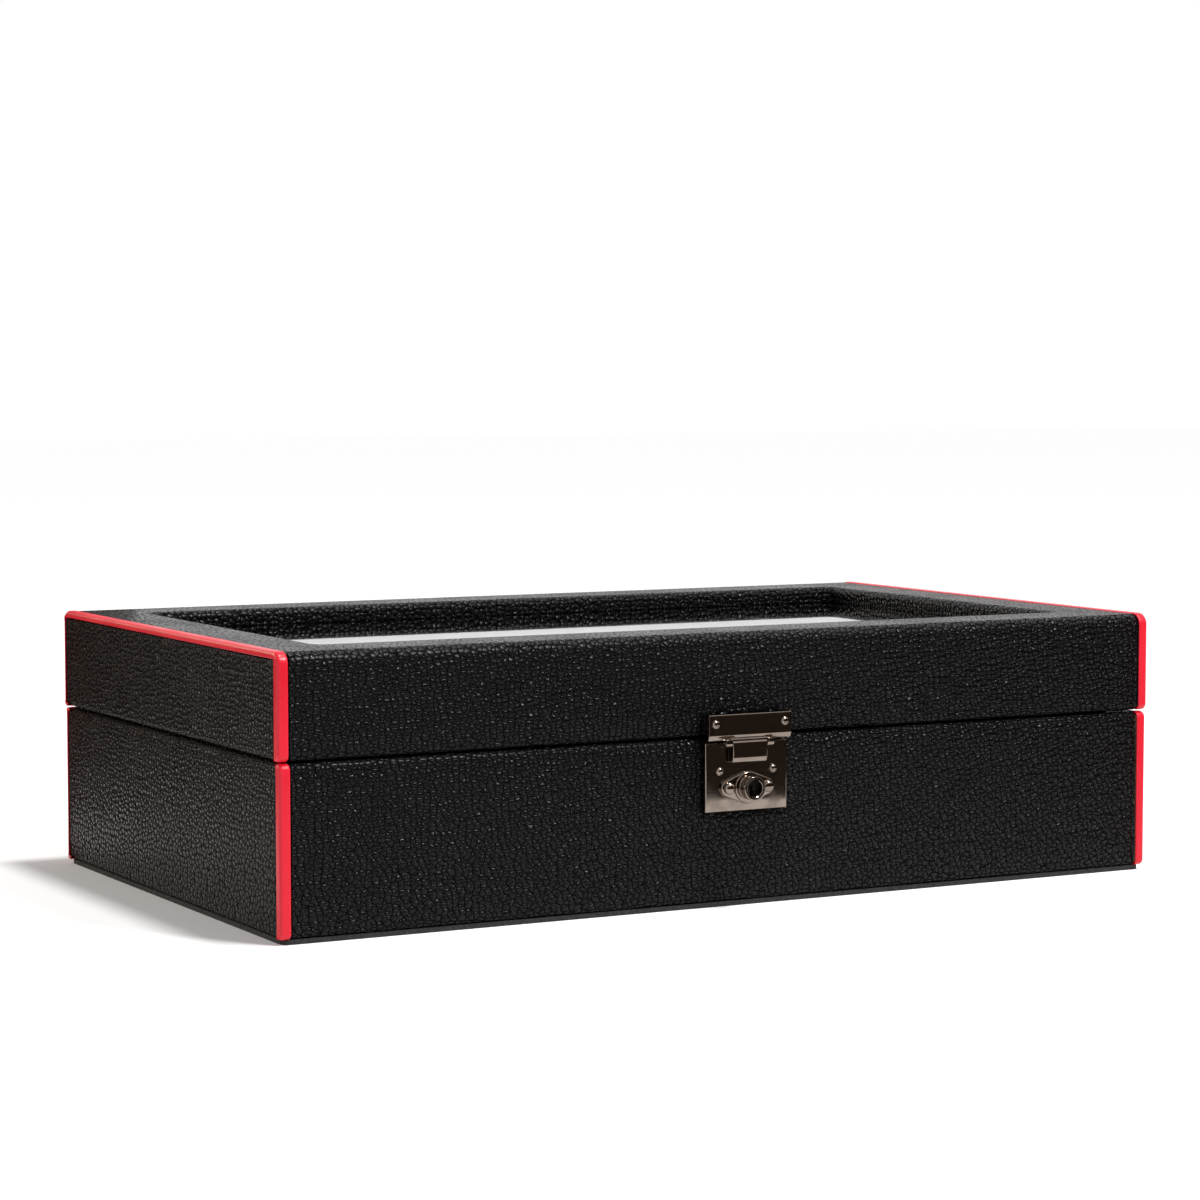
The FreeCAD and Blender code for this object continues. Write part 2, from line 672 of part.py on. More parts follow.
def lock_plate():
    """Pressed tray with a notch for the staple and a slot for the slider's neck."""
    half = "lock_plate_width / 2"
    piece = Piece("lock_plate")
    piece.pad("XZ", [rectangle(f"-{half}", half, "lock_plate_low", "lock_plate_high")],
              LOCK_FACE, "lock_plate_depth")
    piece.fillet("plate_edge", flat_at("Y", LOCK_FACE))
    inner = f"{half} - lock_sheet"
    hollow = rectangle(f"-({inner})", inner, "lock_plate_low + lock_sheet",
                       "lock_plate_high - lock_sheet")
    piece.pocket("XZ", [hollow], f"{LOCK_FACE} + lock_sheet", "lock_plate_depth - lock_sheet")
    notch = rectangle("-notch_half_width", "notch_half_width", "notch_low",
                      "lock_plate_high + lock_sheet")
    piece.pocket("XZ", [notch], f"{LOCK_FACE} - lock_sheet", "lock_plate_depth + lock_sheet")
    slot = stadium("0", "slide_travel", "lock_height", "neck_radius + slide_play")
    piece.pocket("XZ", [slot], f"{LOCK_FACE} - lock_sheet", "2 * lock_sheet")
    rivets(piece, LOCK_FACE, "lock_rivet_height", "lock_rivet_spacing")


def lock_case():
    """Sheet-metal box let into the front board behind the plate."""
    piece = Piece("lock_case")
    piece.pad("XZ", [rectangle("-case_half_width", "case_half_width", "case_low", "case_high")],
              FACE, "case_depth")
    hollow = rectangle("-case_half_width + case_wall", "case_half_width - case_wall",
                       "case_low + case_wall", "case_high - case_wall")
    piece.pocket("XZ", [hollow], FACE, "case_depth - case_wall")


def bolt_spring():
    """Hairpin of flat strip between the bolt's tab and the right wall of the case."""
    left, right = "bolt_tab_place + bolt_tab", "case_half_width - case_wall - case_play"
    middle = f"({left} + {right}) / 2"
    outer = f"({right} - {left}) / 2"
    inner = f"{outer} - spring_strip"
    outline = [
        (left, "spring_top", None, 0),
        (left, "spring_bend", outer, 1),
        (middle, f"spring_bend - ({outer})", outer, 1),
        (right, "spring_bend", None, 0),
        (right, "spring_top", None, 0),
        (f"{right} - spring_strip", "spring_top", None, 0),
        (f"{right} - spring_strip", "spring_bend", inner, -1),
        (middle, f"spring_bend - ({inner})", inner, -1),
        (f"{left} + spring_strip", "spring_bend", None, 0),
        (f"{left} + spring_strip", "spring_top", None, 0),
    ]
    Piece("bolt_spring").pad("XZ", [outline], f"{FACE} + spring_inset", "spring_width")


def slider_flange():
    """Lozenge of the slider: a round middle drawn out to two lobes, with a raised boss."""
    lean = "((flange_middle - flange_lobe) / (stud_spacing / 2))"
    rise = f"sqrt(1 - {lean} ^ 2)"
    middle_x, middle_z = f"flange_middle * {lean}", f"flange_middle * {rise}"
    lobe_x, lobe_z = f"stud_spacing / 2 + flange_lobe * {lean}", f"flange_lobe * {rise}"
    tip = "stud_spacing / 2 + flange_lobe"
    outline = [
        (f"-{middle_x}", f"lock_height - {middle_z}", "flange_middle", 1),
        (middle_x, f"lock_height - {middle_z}", None, 0),
        (lobe_x, f"lock_height - {lobe_z}", "flange_lobe", 1),
        (tip, "lock_height", "flange_lobe", 1),
        (lobe_x, f"lock_height + {lobe_z}", None, 0),
        (middle_x, f"lock_height + {middle_z}", "flange_middle", 1),
        (f"-{middle_x}", f"lock_height + {middle_z}", None, 0),
        (f"-({lobe_x})", f"lock_height + {lobe_z}", "flange_lobe", 1),
        (f"-({tip})", "lock_height", "flange_lobe", 1),
        (f"-({lobe_x})", f"lock_height - {lobe_z}", None, 0),
    ]
    front = f"{SLIDER_BACK} - flange_thickness"
    piece = Piece("slider_flange")
    piece.pad("XZ", [outline], front, "flange_thickness")
    piece.chamfer("flange_edge", flat_at("Y", front))
    piece.pad("XZ", [circle("0", "lock_height", "boss_radius")], f"{LOCK_FACE} - boss_height",
              "boss_height - slide_play")
    piece.chamfer("flange_edge", flat_at("Y", f"{LOCK_FACE} - boss_height"))
    hole = circle("0", "lock_height", "barrel_radius")
    piece.pocket("XZ", [hole], f"{LOCK_FACE} - boss_height", "boss_height")


def key_barrel():
    """Turned barrel with a double ring at its mouth and a neck that runs through the plate."""
    mouth = f"{LOCK_FACE} - barrel_reach"
    tail = f"{LOCK_FACE} + lock_sheet + bolt_play + bolt_thickness"
    seat = f"{SLIDER_BACK} + lock_sheet / 2"
    path = [
        (seat, "bore_radius", None, 0),
        (seat, "tail_bore", None, 0),
        (tail, "tail_bore", None, 0),
        (tail, "neck_radius", None, 0),
        (SLIDER_BACK, "neck_radius", None, 0),
        (SLIDER_BACK, "barrel_radius", None, 0),
        (mouth, "barrel_radius", None, 0),
        (mouth, "outer_lip", None, 0),
        (f"{mouth} + lip_groove_depth", "lip_groove", None, 0),
        (mouth, "inner_lip", None, 0),
        (mouth, "bore_radius", None, 0),
    ]
    Piece("key_barrel").revolve("YZ", path, "0", ("0", "lock_height"))


def slider_studs():
    """Two round-topped studs that the fingers push."""
    back = f"{SLIDER_BACK} - flange_thickness"
    top = f"{LOCK_FACE} - stud_height"
    path = [
        (top, "0", None, 0),
        (top, "stud_radius - stud_round", None, 0),
        (f"{top} + stud_round / 3", "stud_radius - stud_round / 3", None, 0),
        (f"{top} + stud_round", "stud_radius", None, 0),
        (back, "stud_radius", None, 0),
        (back, "0", None, 0),
    ]
    piece = Piece("slider_studs")
    piece.revolve("YZ", path, "stud_spacing / 2", ("0", "lock_height"))
    piece.mirror()


def latch_bolt():
    """Bolt behind the plate, drawn back clear of the staple, with a tab for its spring."""
    front = f"{LOCK_FACE} + lock_sheet + bolt_play"
    outline = [
        ("-bolt_left", "bolt_low"),
        ("bolt_right", "bolt_low"),
        ("bolt_right", "bolt_high"),
        ("bolt_nose", "bolt_high"),
        ("bolt_nose", "bolt_shoulder"),
        ("-bolt_left", "bolt_shoulder"),
    ]
    piece = Piece("latch_bolt")
    piece.pad("XZ", [outline, circle("0", "lock_height", "neck_radius")], front, "bolt_thickness")
    tab = rectangle("bolt_tab_place", "bolt_tab_place + bolt_tab", "bolt_tab_low", "bolt_shoulder")
    piece.pad("XZ", [tab], front, f"{FACE} + bolt_tab_reach - ({front})")


def key_plug():
    """Plug that the key turns, with a pin in its middle and a slot for the bit."""
    mouth = f"{LOCK_FACE} - barrel_reach"
    front = f"{mouth} + plug_depth"
    seat = f"{SLIDER_BACK} + lock_sheet / 2 - plug_play"
    tail = f"{LOCK_FACE} + lock_sheet"
    path = [
        (tail, "0", None, 0),
        (f"{mouth} + bore_pin_depth", "0", None, 0),
        (f"{mouth} + bore_pin_depth", "bore_pin", None, 0),
        (front, "bore_pin", None, 0),
        (front, "bore_radius - plug_play", None, 0),
        (seat, "bore_radius - plug_play", None, 0),
        (seat, "tail_bore - plug_play", None, 0),
        (tail, "tail_bore - plug_play", None, 0),
    ]
    piece = Piece("key_plug")
    piece.revolve("YZ", path, "0", ("0", "lock_height"))
    slot = rectangle("-key_slot / 2", "key_slot / 2", "lock_height - bore_radius",
                     "lock_height - bore_pin")
    piece.pocket("XZ", [slot], front, "key_slot_depth")


# Hasp on the lid

def hasp_plate():
    """Deep pressed plate with a bevelled lower edge and two hinge ears under it."""
    half = "hasp_plate_width / 2"
    low, high = "hasp_plate_low", "hasp_plate_high"
    piece = Piece("hasp_plate")
    piece.pad("XZ", [rectangle(f"-{half}", half, low, high)], HASP_FACE, "hasp_plate_depth")
    front = flat_at("Y", HASP_FACE)
    piece.chamfer("hasp_bevel", both(front, flat_at("Z", low)))
    piece.fillet("plate_edge", both(flat_at("Y", HASP_FACE), flat_at("Z", high)))
    inner = f"{half} - hasp_sheet"
    hollow = rectangle(f"-({inner})", inner, f"{low} + hasp_sheet", f"{high} - hasp_sheet")
    piece.pocket("XZ", [hollow], f"{HASP_FACE} + hasp_sheet", "hasp_plate_depth - hasp_sheet")
    clear = rectangle(f"-({half}) - hasp_sheet", f"{half} + hasp_sheet", f"{low} - hasp_sheet",
                      f"{LID_RIM} + ear_play")
    piece.pocket("XZ", [clear], f"{FACE} - hasp_standoff", "hasp_standoff + hasp_sheet")
    rivets(piece, HASP_FACE, "hasp_rivet_height", "hasp_rivet_spacing")
    radius = "hasp_thickness / 2"
    ear = [
        (f"{HASP_AXIS_Y} - {radius}", "hasp_axis", radius, 1),
        (HASP_AXIS_Y, f"hasp_axis - {radius}", radius, 1),
        (f"{HASP_AXIS_Y} + {radius}", "hasp_axis", None, 0),
        (f"{HASP_AXIS_Y} + {radius}", f"{low} + hasp_sheet / 2", None, 0),
        (f"{HASP_AXIS_Y}", f"{low} + hasp_sheet / 2", None, 0),
        (f"{HASP_AXIS_Y} - {radius}", low, None, 0),
    ]
    pin_hole = circle(HASP_AXIS_Y, "hasp_axis", "hasp_pin_radius")
    for start in ("hasp_half_width + ear_play", "-hasp_half_width - ear_play - ear_width"):
        piece.pad("YZ", [ear, pin_hole], start, "ear_width")


def hasp():
    """Hinged tongue with a bevelled lower edge and a headed staple on its back."""
    radius = "hasp_thickness / 2"
    back = f"{HASP_FACE} + hasp_thickness"
    section = [
        (HASP_FACE, "hasp_axis", None, 0),
        (HASP_FACE, "hasp_low + hasp_bevel", None, 0),
        (f"{HASP_FACE} + hasp_bevel", "hasp_low", None, 0),
        (back, "hasp_low", None, 0),
        (back, "hasp_axis", radius, 1),
        (HASP_AXIS_Y, f"hasp_axis + {radius}", radius, 1),
    ]
    bore = circle(HASP_AXIS_Y, "hasp_axis", "hasp_pin_radius + pin_play")
    piece = Piece("hasp")
    piece.pad("YZ", [section, bore], "-hasp_half_width", "2 * hasp_half_width")
    tip = f"{FACE} - staple_clear"
    neck = rectangle("-staple_half_width", "staple_neck", "staple_low", "staple_high")
    head = rectangle("-staple_half_width", "staple_half_width", "staple_low", "staple_high")
    piece.pad("XZ", [neck], back, f"{tip} - ({back})")
    piece.pad("XZ", [head], f"{tip} - staple_head", "staple_head")


def hasp_pin():
    reach = "hasp_half_width + ear_play + ear_width"
    pin = circle(HASP_AXIS_Y, "hasp_axis", "hasp_pin_radius")
    Piece("hasp_pin").pad("YZ", [pin], f"-({reach})", f"2 * ({reach})")


# Lid

def lid_long_rail(label, way):
    """Front (way -1) or rear (way 1) rail: an upright with a flange over the glass."""
    outer, inner = f"{way} * ({BOARD_SIDE})", f"{way} * ({LID_INSIDE_SIDE})"
    edge = f"{way} * ({WINDOW_SIDE} + leather)"
    section = [
        (outer, LID_BOARD_RIM),
        (outer, LID_BOARD_TOP, "top_round - piping_thickness"),
        (edge, LID_BOARD_TOP),
        (edge, GLASS_TOP),
        (inner, GLASS_TOP),
        (inner, LID_BOARD_RIM),
    ]
    piece = Piece(label)
    return piece.pad("YZ", [section], f"-({LID_BOARD_END})", f"2 * ({LID_BOARD_END})")


def lid_rails():
    lid_long_rail("lid_front_rail", -1)
    cut_kerfs(lid_long_rail("lid_rear_rail", 1), 1)
    for label, way in (("lid_left_rail", -1), ("lid_right_rail", 1)):
        outer, inner = f"{way} * ({LID_BOARD_END})", f"{way} * ({LID_INSIDE_END})"
        edge = f"{way} * ({WINDOW_END} + leather)"
        piece = Piece(label)
        piece.pad("XZ", [rectangle(inner, outer, LID_BOARD_RIM, GLASS_TOP)],
                  f"-({LID_INSIDE_SIDE})", f"2 * ({LID_INSIDE_SIDE})")
        flange = rectangle(outer, edge, f"-({WINDOW_SIDE} + leather)", f"{WINDOW_SIDE} + leather")
        piece.pad("XY", [flange], GLASS_TOP, f"{LID_BOARD_TOP} - ({GLASS_TOP})")


def lid_cover():
    """One leather over front, top and rear, turned down into the window to the glass."""
    face, board = f"{SIDE} - proud", BOARD_SIDE
    reach = f"{LID_END} - piping_width - groove"
    outer = [
        (f"-({face})", LID_RIM, "rim_round"),
        (face, LID_RIM, "rim_round"),
        (face, "height - proud", "top_round - proud"),
        (f"-({face})", "height - proud", "top_round - proud"),
    ]
    inner = [
        (f"-({board})", LID_BOARD_RIM),
        (board, LID_BOARD_RIM),
        (board, LID_BOARD_TOP, "top_round - piping_thickness"),
        (f"-({board})", LID_BOARD_TOP, "top_round - piping_thickness"),
    ]
    piece = Piece("lid_cover")
    piece.pad("YZ", [outer, inner], f"-({reach})", f"2 * ({reach})")
    piece.pocket("XY", [centred(f"{reach} + groove", LID_INSIDE_SIDE)], LID_RIM, "leather")
    window = centred(WINDOW_END, WINDOW_SIDE, "window_corner")
    piece.pocket("XY", [window], LID_BOARD_TOP, "piping_thickness")
    turned = centred(f"{WINDOW_END} + leather", f"{WINDOW_SIDE} + leather",
                     "window_corner + leather")
    piece.pad("XY", [turned, window], GLASS_TOP, f"height - proud - ({GLASS_TOP})")

    def window_edge(edge):
        box = edge.BoundBox
        within = max(abs(box.YMin), abs(box.YMax)) < value(WINDOW_SIDE) + 0.01
        return within and max(abs(box.XMin), abs(box.XMax)) < value(WINDOW_END) + 0.01
    piece.fillet("window_round", both(flat_at("Z", "height - proud"), window_edge))
    cut_kerfs(piece, 1)


def lid_end_covers():
    """Leather end panels under the piping, tucked under the lid's rim."""
    for label, way in (("lid_left_cover", -1), ("lid_right_cover", 1)):
        face, board = f"{way} * ({LID_END} - proud)", f"{way} * ({LID_BOARD_END})"
        inside = f"{way} * ({LID_INSIDE_END})"
        top = "height - piping_width - groove"
        section = [
            (inside, LID_RIM),
            (face, LID_RIM, "rim_round"),
            (face, top),
            (board, top),
            (board, LID_BOARD_RIM),
            (inside, LID_BOARD_RIM),
        ]
        reach = f"{SIDE} - piping_width - groove"
        piece = Piece(label).pad("XZ", [section], f"-({reach})", f"2 * ({reach})")
        trim_end_cover(piece, way, inside, LID_END, LID_RIM, LID_BOARD_RIM)


def lid_piping(label, way):
    """Red strip up the front edge, over the top and down the rear edge of one end."""
    end = f"{way} * ({LID_END})"
    low = f"{LID_END} - piping_width" if way > 0 else f"-({LID_END})"
    board_low = low if way > 0 else f"-({LID_BOARD_END})"
    outline = [
        (f"-({SIDE})", LID_RIM, "rim_round"),
        (SIDE, LID_RIM, "rim_round"),
        (SIDE, "height", "top_round"),
        (f"-({SIDE})", "height", "top_round"),
    ]
    panel = f"{SIDE} - piping_width"
    centre = [
        (f"-({panel})", f"{LID_RIM} - piping_width"),
        (panel, f"{LID_RIM} - piping_width"),
        (panel, "height - piping_width", "top_round - piping_width"),
        (f"-({panel})", "height - piping_width", "top_round - piping_width"),
    ]
    board = [
        (f"-({BOARD_SIDE})", LID_BOARD_RIM),
        (BOARD_SIDE, LID_BOARD_RIM),
        (BOARD_SIDE, LID_BOARD_TOP, "top_round - piping_thickness"),
        (f"-({BOARD_SIDE})", LID_BOARD_TOP, "top_round - piping_thickness"),
    ]
    piece = Piece(label)
    piece.pad("YZ", [outline], low, "piping_width")
    piece.chamfer("piping_bevel", flat_at("X", end))
    piece.pocket("YZ", [centre], low, "piping_width")
    piece.pocket("YZ", [board], board_low, "piping_width - piping_thickness")


def glass_pane():
    outline = centred(f"{WINDOW_END} + glass_lap", f"{WINDOW_SIDE} + glass_lap")
    Piece("glass_pane").pad("XY", [outline], f"{GLASS_TOP} - glass_thickness", "glass_thickness")


def glass_frame():
    """Suede-covered frame that holds the glass up against the rails."""
    glass_under = f"{GLASS_TOP} - glass_thickness"
    low = f"{glass_under} - retainer_lip"
    opening = centred(f"{WINDOW_END} + retainer_reveal", f"{WINDOW_SIDE} + retainer_reveal")
    rebate = centred(f"{WINDOW_END} + glass_lap + glass_play",
                     f"{WINDOW_SIDE} + glass_lap + glass_play")
    piece = Piece("glass_frame")
    piece.pad("XY", [centred(LID_INSIDE_END, LID_INSIDE_SIDE), opening], low,
              f"{GLASS_TOP} - ({low})")
    piece.pocket("XY", [rebate], glass_under, "glass_thickness")

    def opening_edge(edge):
        return edge.BoundBox.XMax < value(WINDOW_END) + value("retainer_reveal") + 0.01
    piece.fillet("retainer_edge", both(flat_at("Z", low), opening_edge))


# Rear hinges

def leaf_outline(left, right, middle, tongue, way):
    """A leaf's flange seen from behind; way is -1 below the axis and 1 above it.

    The lower leaf reaches the axis at its two outer knuckles, the upper one in the middle."""
    edge = f"gap_height + {way} * leaf_drop"
    clear = f"gap_height + {way} * leaf_clear"
    outer, inner = ("gap_height", clear) if way < 0 else (clear, "gap_height")
    return [
        (left, edge),
        (right, edge),
        (right, outer),
        (f"{middle} + {tongue}", outer),
        (f"{middle} + {tongue}", inner),
        (f"{middle} - {tongue}", inner),
        (f"{middle} - {tongue}", outer),
        (left, outer),
    ]


def hinge_leaf(label, middle, way, tongue, spans, bore):
    """Flange on the rear face, a blade bent into its kerf, and knuckles on the axis."""
    left, right = f"{middle} - hinge_width / 2", f"{middle} + hinge_width / 2"
    face = f"{SIDE} - proud"
    outline = leaf_outline(left, right, middle, tongue, way)
    piece = Piece(label)
    piece.pad("XZ", [outline], face, "leaf_thickness")
    blade = sorted((f"gap_height + {way} * leaf_drop",
                    f"gap_height + {way} * (leaf_drop - leaf_thickness)"), key=value)
    piece.pad("YZ", [rectangle(f"{SIDE} - leaf_reach", face, *blade)], left, "hinge_width")
    knuckle = circle(HINGE_Y, "gap_height", "knuckle_radius")
    for start, length in spans:
        piece.pad("YZ", [knuckle], start, length)
    if way > 0:
        tab = rectangle(HINGE_Y, f"{HINGE_Y} + stop_tab_reach", "gap_height - stop_tab_under",
                        "gap_height + stop_tab_over")
        piece.pad("YZ", [tab], *spans[0])
    piece.pocket("YZ", [circle(HINGE_Y, "gap_height", bore)], left, "hinge_width")


def hinges():
    """Two hinges whose upper leaf's tab meets the lower leaf just past the open angle."""
    gap = "(knuckle_middle / 2)"
    tongue = "(knuckle_middle / 2 - knuckle_gap)"
    for word, way in (("left", -1), ("right", 1)):
        middle = f"{way} * hinge_place"
        side = f"hinge_width / 2 - {gap}"
        outer = [(f"{middle} - hinge_width / 2", side), (f"{middle} + {gap}", side)]
        hinge_leaf(f"hinge_{word}_lower_leaf", middle, -1, gap, outer, "hinge_pin_radius")
        hinge_leaf(f"hinge_{word}_upper_leaf", middle, 1, tongue,
                   [(f"{middle} - {tongue}", f"2 * {tongue}")], "hinge_pin_radius + pin_play")
        pin = circle(HINGE_Y, "gap_height", "hinge_pin_radius")
        reach = "hinge_width / 2 + hinge_pin_over"
        piece = Piece(f"hinge_{word}_pin")
        piece.pad("YZ", [pin], f"{middle} - ({reach})", f"2 * ({reach})")


def check_and_write():
    """Stop on a failed object or a bad shape, then write each sub-part's file."""
    doc.recompute()
    for item in doc.Objects:
        if "Invalid" in item.State or "Error" in item.State:
            raise RuntimeError(f"{item.Name} failed: {item.State}")
    for piece in pieces:
        if piece.Shape.isNull() or not piece.Shape.isValid() or not piece.Shape.Solids:
            raise RuntimeError(f"{piece.Label} has no valid shape")
    for piece in pieces:
        piece.Shape.exportStep(f"parts/{piece.Label}.step")
    print(len(pieces), "sub-parts written")


fill_sheet()
base_sheet()
body_floor_board()
body_boards()
body_covers()
body_piping("body_piping_left", -1)
body_piping("body_piping_right", 1)
body_lining()
floor_pad()
divider_long()
cross_dividers()
pillows()
lock_plate()
lock_case()
bolt_spring()
slider_flange()
key_barrel()
slider_studs()
latch_bolt()
key_plug()
hasp_plate()
hasp()
hasp_pin()
lid_rails()
lid_cover()
lid_end_covers()
lid_piping("lid_piping_left", -1)
lid_piping("lid_piping_right", 1)
glass_pane()
glass_frame()
hinges()
check_and_write()
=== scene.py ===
"""Leather-covered watch box with a glass lid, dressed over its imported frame."""

import math
from contextlib import contextmanager

import bmesh
import bpy
import numpy as np
from bpy.props import FloatProperty, FloatVectorProperty, PointerProperty
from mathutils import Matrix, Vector, kdtree


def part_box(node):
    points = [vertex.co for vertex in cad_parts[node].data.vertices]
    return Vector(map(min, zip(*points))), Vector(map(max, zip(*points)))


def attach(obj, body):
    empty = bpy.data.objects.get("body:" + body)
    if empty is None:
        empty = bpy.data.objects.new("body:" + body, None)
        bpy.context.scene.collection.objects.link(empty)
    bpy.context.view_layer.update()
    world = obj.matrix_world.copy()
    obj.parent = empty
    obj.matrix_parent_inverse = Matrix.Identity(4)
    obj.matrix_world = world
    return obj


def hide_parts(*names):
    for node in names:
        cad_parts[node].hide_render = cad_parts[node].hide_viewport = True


bl_info = {
    "name": "Watch Box",
    "version": (1, 0, 0),
    "blender": (4, 5, 0),
    "location": "View3D > Sidebar > Watch Box",
    "description": "Builds a leather-covered watch box with a glass lid and a slide lock",
    "category": "Object",
}

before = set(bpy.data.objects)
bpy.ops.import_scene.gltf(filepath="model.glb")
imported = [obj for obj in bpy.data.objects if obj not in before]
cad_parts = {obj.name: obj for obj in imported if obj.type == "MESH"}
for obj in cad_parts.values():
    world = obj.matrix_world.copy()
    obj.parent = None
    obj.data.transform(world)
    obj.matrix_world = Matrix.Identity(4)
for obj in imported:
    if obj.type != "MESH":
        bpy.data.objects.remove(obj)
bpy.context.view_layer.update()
MM = 0.001


def extent(node):
    """Lowest and highest corner of a CAD node, in millimetres."""
    return np.array(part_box(node)) / MM


# Settings

class WatchBoxSizes(bpy.types.PropertyGroup):
    """Thicknesses, roundings and grain of the dressed pieces"""
    leather: FloatProperty(
        name="Leather", description="Thickness of the leather, millimetres",
        default=1.1, min=0.4, max=1.15)
    roll: FloatProperty(
        name="Edge Roll", description="Rounding of the leather where it meets a groove, millimetres",
        default=0.7, min=0.1, max=1.0)
    piping_edge: FloatProperty(
        name="Piping Edge", description="Rounding of the piping's outer edge, millimetres",
        default=1.15, min=0.3, max=1.3)
    crown: FloatProperty(
        name="Crown", description="Swell of the padded leather on the long sides, millimetres",
        default=0.4, min=0.0, max=0.6)
    grain: FloatProperty(
        name="Grain", description="Length of one pebble of the leather's grain, millimetres",
        default=2.15, min=0.4, max=4.0)
    metal_edge: FloatProperty(
        name="Metal Edge", description="Rounding of the small metal parts' edges, millimetres",
        default=0.18, min=0.02, max=0.4)
    card_edge: FloatProperty(
        name="Card Edge", description="Rounding of the suede-covered card, millimetres",
        default=0.8, min=0.1, max=1.2)


class WatchBoxColours(bpy.types.PropertyGroup):
    """Base colours of the finishes"""
    leather: FloatVectorProperty(
        name="Leather", description="Black pebbled leather", subtype="COLOR",
        default=(0.0022, 0.0020, 0.0022), min=0.0, max=1.0)
    piping: FloatVectorProperty(
        name="Piping", description="Red leather strips on the corners", subtype="COLOR",
        default=(0.655, 0.006, 0.021), min=0.0, max=1.0)
    metal: FloatVectorProperty(
        name="Gunmetal", description="Lock, hasp and hinges", subtype="COLOR",
        default=(0.235, 0.192, 0.16), min=0.0, max=1.0)
    suede: FloatVectorProperty(
        name="Suede", description="Lining, dividers and floor pad", subtype="COLOR",
        default=(0.018, 0.017, 0.019), min=0.0, max=1.0)
    pillow: FloatVectorProperty(
        name="Pillow Suede", description="Cover of the watch pillows", subtype="COLOR",
        default=(0.03, 0.028, 0.03), min=0.0, max=1.0)
    board: FloatVectorProperty(
        name="Board", description="Fibreboard under the leather", subtype="COLOR",
        default=(0.33, 0.24, 0.155), min=0.0, max=1.0)


class WatchBoxStage(bpy.types.PropertyGroup):
    """Camera, lamps, floor and surroundings"""
    lens: FloatProperty(
        name="Lens", description="Focal length of the camera, millimetres",
        default=100.0, min=20.0, max=300.0)
    key: FloatProperty(
        name="Key Light", description="Strength of the light from above and in front",
        default=2.35, min=0.0, max=20.0)
    front: FloatProperty(
        name="Front Light", description="Power of the soft lamp in front on the right, watts",
        default=17.0, min=0.0, max=200.0)
    back: FloatProperty(
        name="Back Light", description="Power of the warm soft lamp behind on the left, watts",
        default=9.0, min=0.0, max=200.0)
    glow: FloatProperty(
        name="Floor Glow", description="Brightness added to the floor for the camera and in reflections",
        default=0.14, min=0.0, max=1.0)
    flag: FloatProperty(
        name="Flag Distance", description="Dark low cards round the box, seen only in reflections, metres",
        default=0.35, min=0.2, max=3.0)
    sky: FloatProperty(
        name="Sky", description="Brightness of the surroundings on dull surfaces",
        default=0.33, min=0.0, max=2.0)
    floor: FloatVectorProperty(
        name="Floor", description="Plain pale floor", subtype="COLOR",
        default=(0.80, 0.80, 0.80), min=0.0, max=1.0)


# Shapes as arrays of points

def rounded_line(corners, inside, steps=10):
    """Points along straight runs joined by tangent arcs, and normals that point away from inside.

    Each corner is (a, b, radius). An arc starts a distance radius * tan(turn / 2) before its
    corner. Its points are start + radius * (sin(angle) * way in + (1 - cos(angle)) * way across),
    with the angle running evenly from 0 to the turn.
    """
    corners = [np.array(corner, float) for corner in corners]
    points, normals = [], []
    for index, corner in enumerate(corners):
        here, radius = corner[:2], corner[2]
        before = corners[max(index - 1, 0)][:2]
        after = corners[min(index + 1, len(corners) - 1)][:2]
        came = here - before if index else after - here
        goes = after - here if index < len(corners) - 1 else came
        came, goes = came / np.linalg.norm(came), goes / np.linalg.norm(goes)
        turn = math.atan2(came[0] * goes[1] - came[1] * goes[0], came @ goes)
        if radius <= 0 or abs(turn) < 1e-6:
            for way in ((came,) if abs(turn) < 1e-6 else (came, goes)):
                points.append(here[None])
                normals.append(np.array([[way[1], -way[0]]]))
            continue
        side = math.copysign(1.0, turn)
        start = here - came * radius * math.tan(abs(turn) / 2)
        across = np.array([-came[1], came[0]]) * side
        angle = np.linspace(0.0, abs(turn), steps + 1)[:, None]
        arc = start + radius * (np.sin(angle) * came + (1 - np.cos(angle)) * across)
        points.append(arc)
        normals.append(side * (np.sin(angle) * came - np.cos(angle) * across))
    line, normals = np.concatenate(points), np.concatenate(normals)
    return line, normals * np.sign(((line - inside) * normals).sum(axis=1).mean())


def spread(line, normals, longest):
    """Add points to a line so that no step is longer than asked, normals with them."""
    steps = np.linalg.norm(np.diff(line, axis=0), axis=1)
    count = np.maximum(1, np.ceil(steps / longest).astype(int))
    place = np.concatenate([start + np.arange(n) / n for start, n in enumerate(count)] + [[len(steps)]])
    index = np.arange(len(line))
    both = [np.stack([np.interp(place, index, data[:, k]) for k in range(2)], axis=1)
            for data in (line, normals)]
    both[1] /= np.maximum(np.linalg.norm(both[1], axis=1, keepdims=True), 1e-9)
    return both


def grid_faces(rows, columns, wrap_rows=False, wrap_columns=False):
    """Quads between neighbouring rows and columns of a grid of points."""
    row = np.arange(rows if wrap_rows else rows - 1)[:, None]
    column = np.arange(columns if wrap_columns else columns - 1)[None, :]
    next_row, next_column = (row + 1) % rows, (column + 1) % columns
    corners = np.broadcast_arrays(row * columns + column, row * columns + next_column,
                                  next_row * columns + next_column, next_row * columns + column)
    return np.stack(corners, axis=-1).reshape(-1, 4)


def end_samples(reach, roll, longest):
    """Places from -reach to reach, close together where the ends roll over."""
    near = reach - roll * np.array([1.0, 0.8, 0.55, 0.3, 0.12, 0.03, 0.0])
    middle = np.linspace(-near[0], near[0], int(2 * near[0] / longest) + 2)[1:-1]
    return np.unique(np.round(np.concatenate([-near, middle, near]), 6))


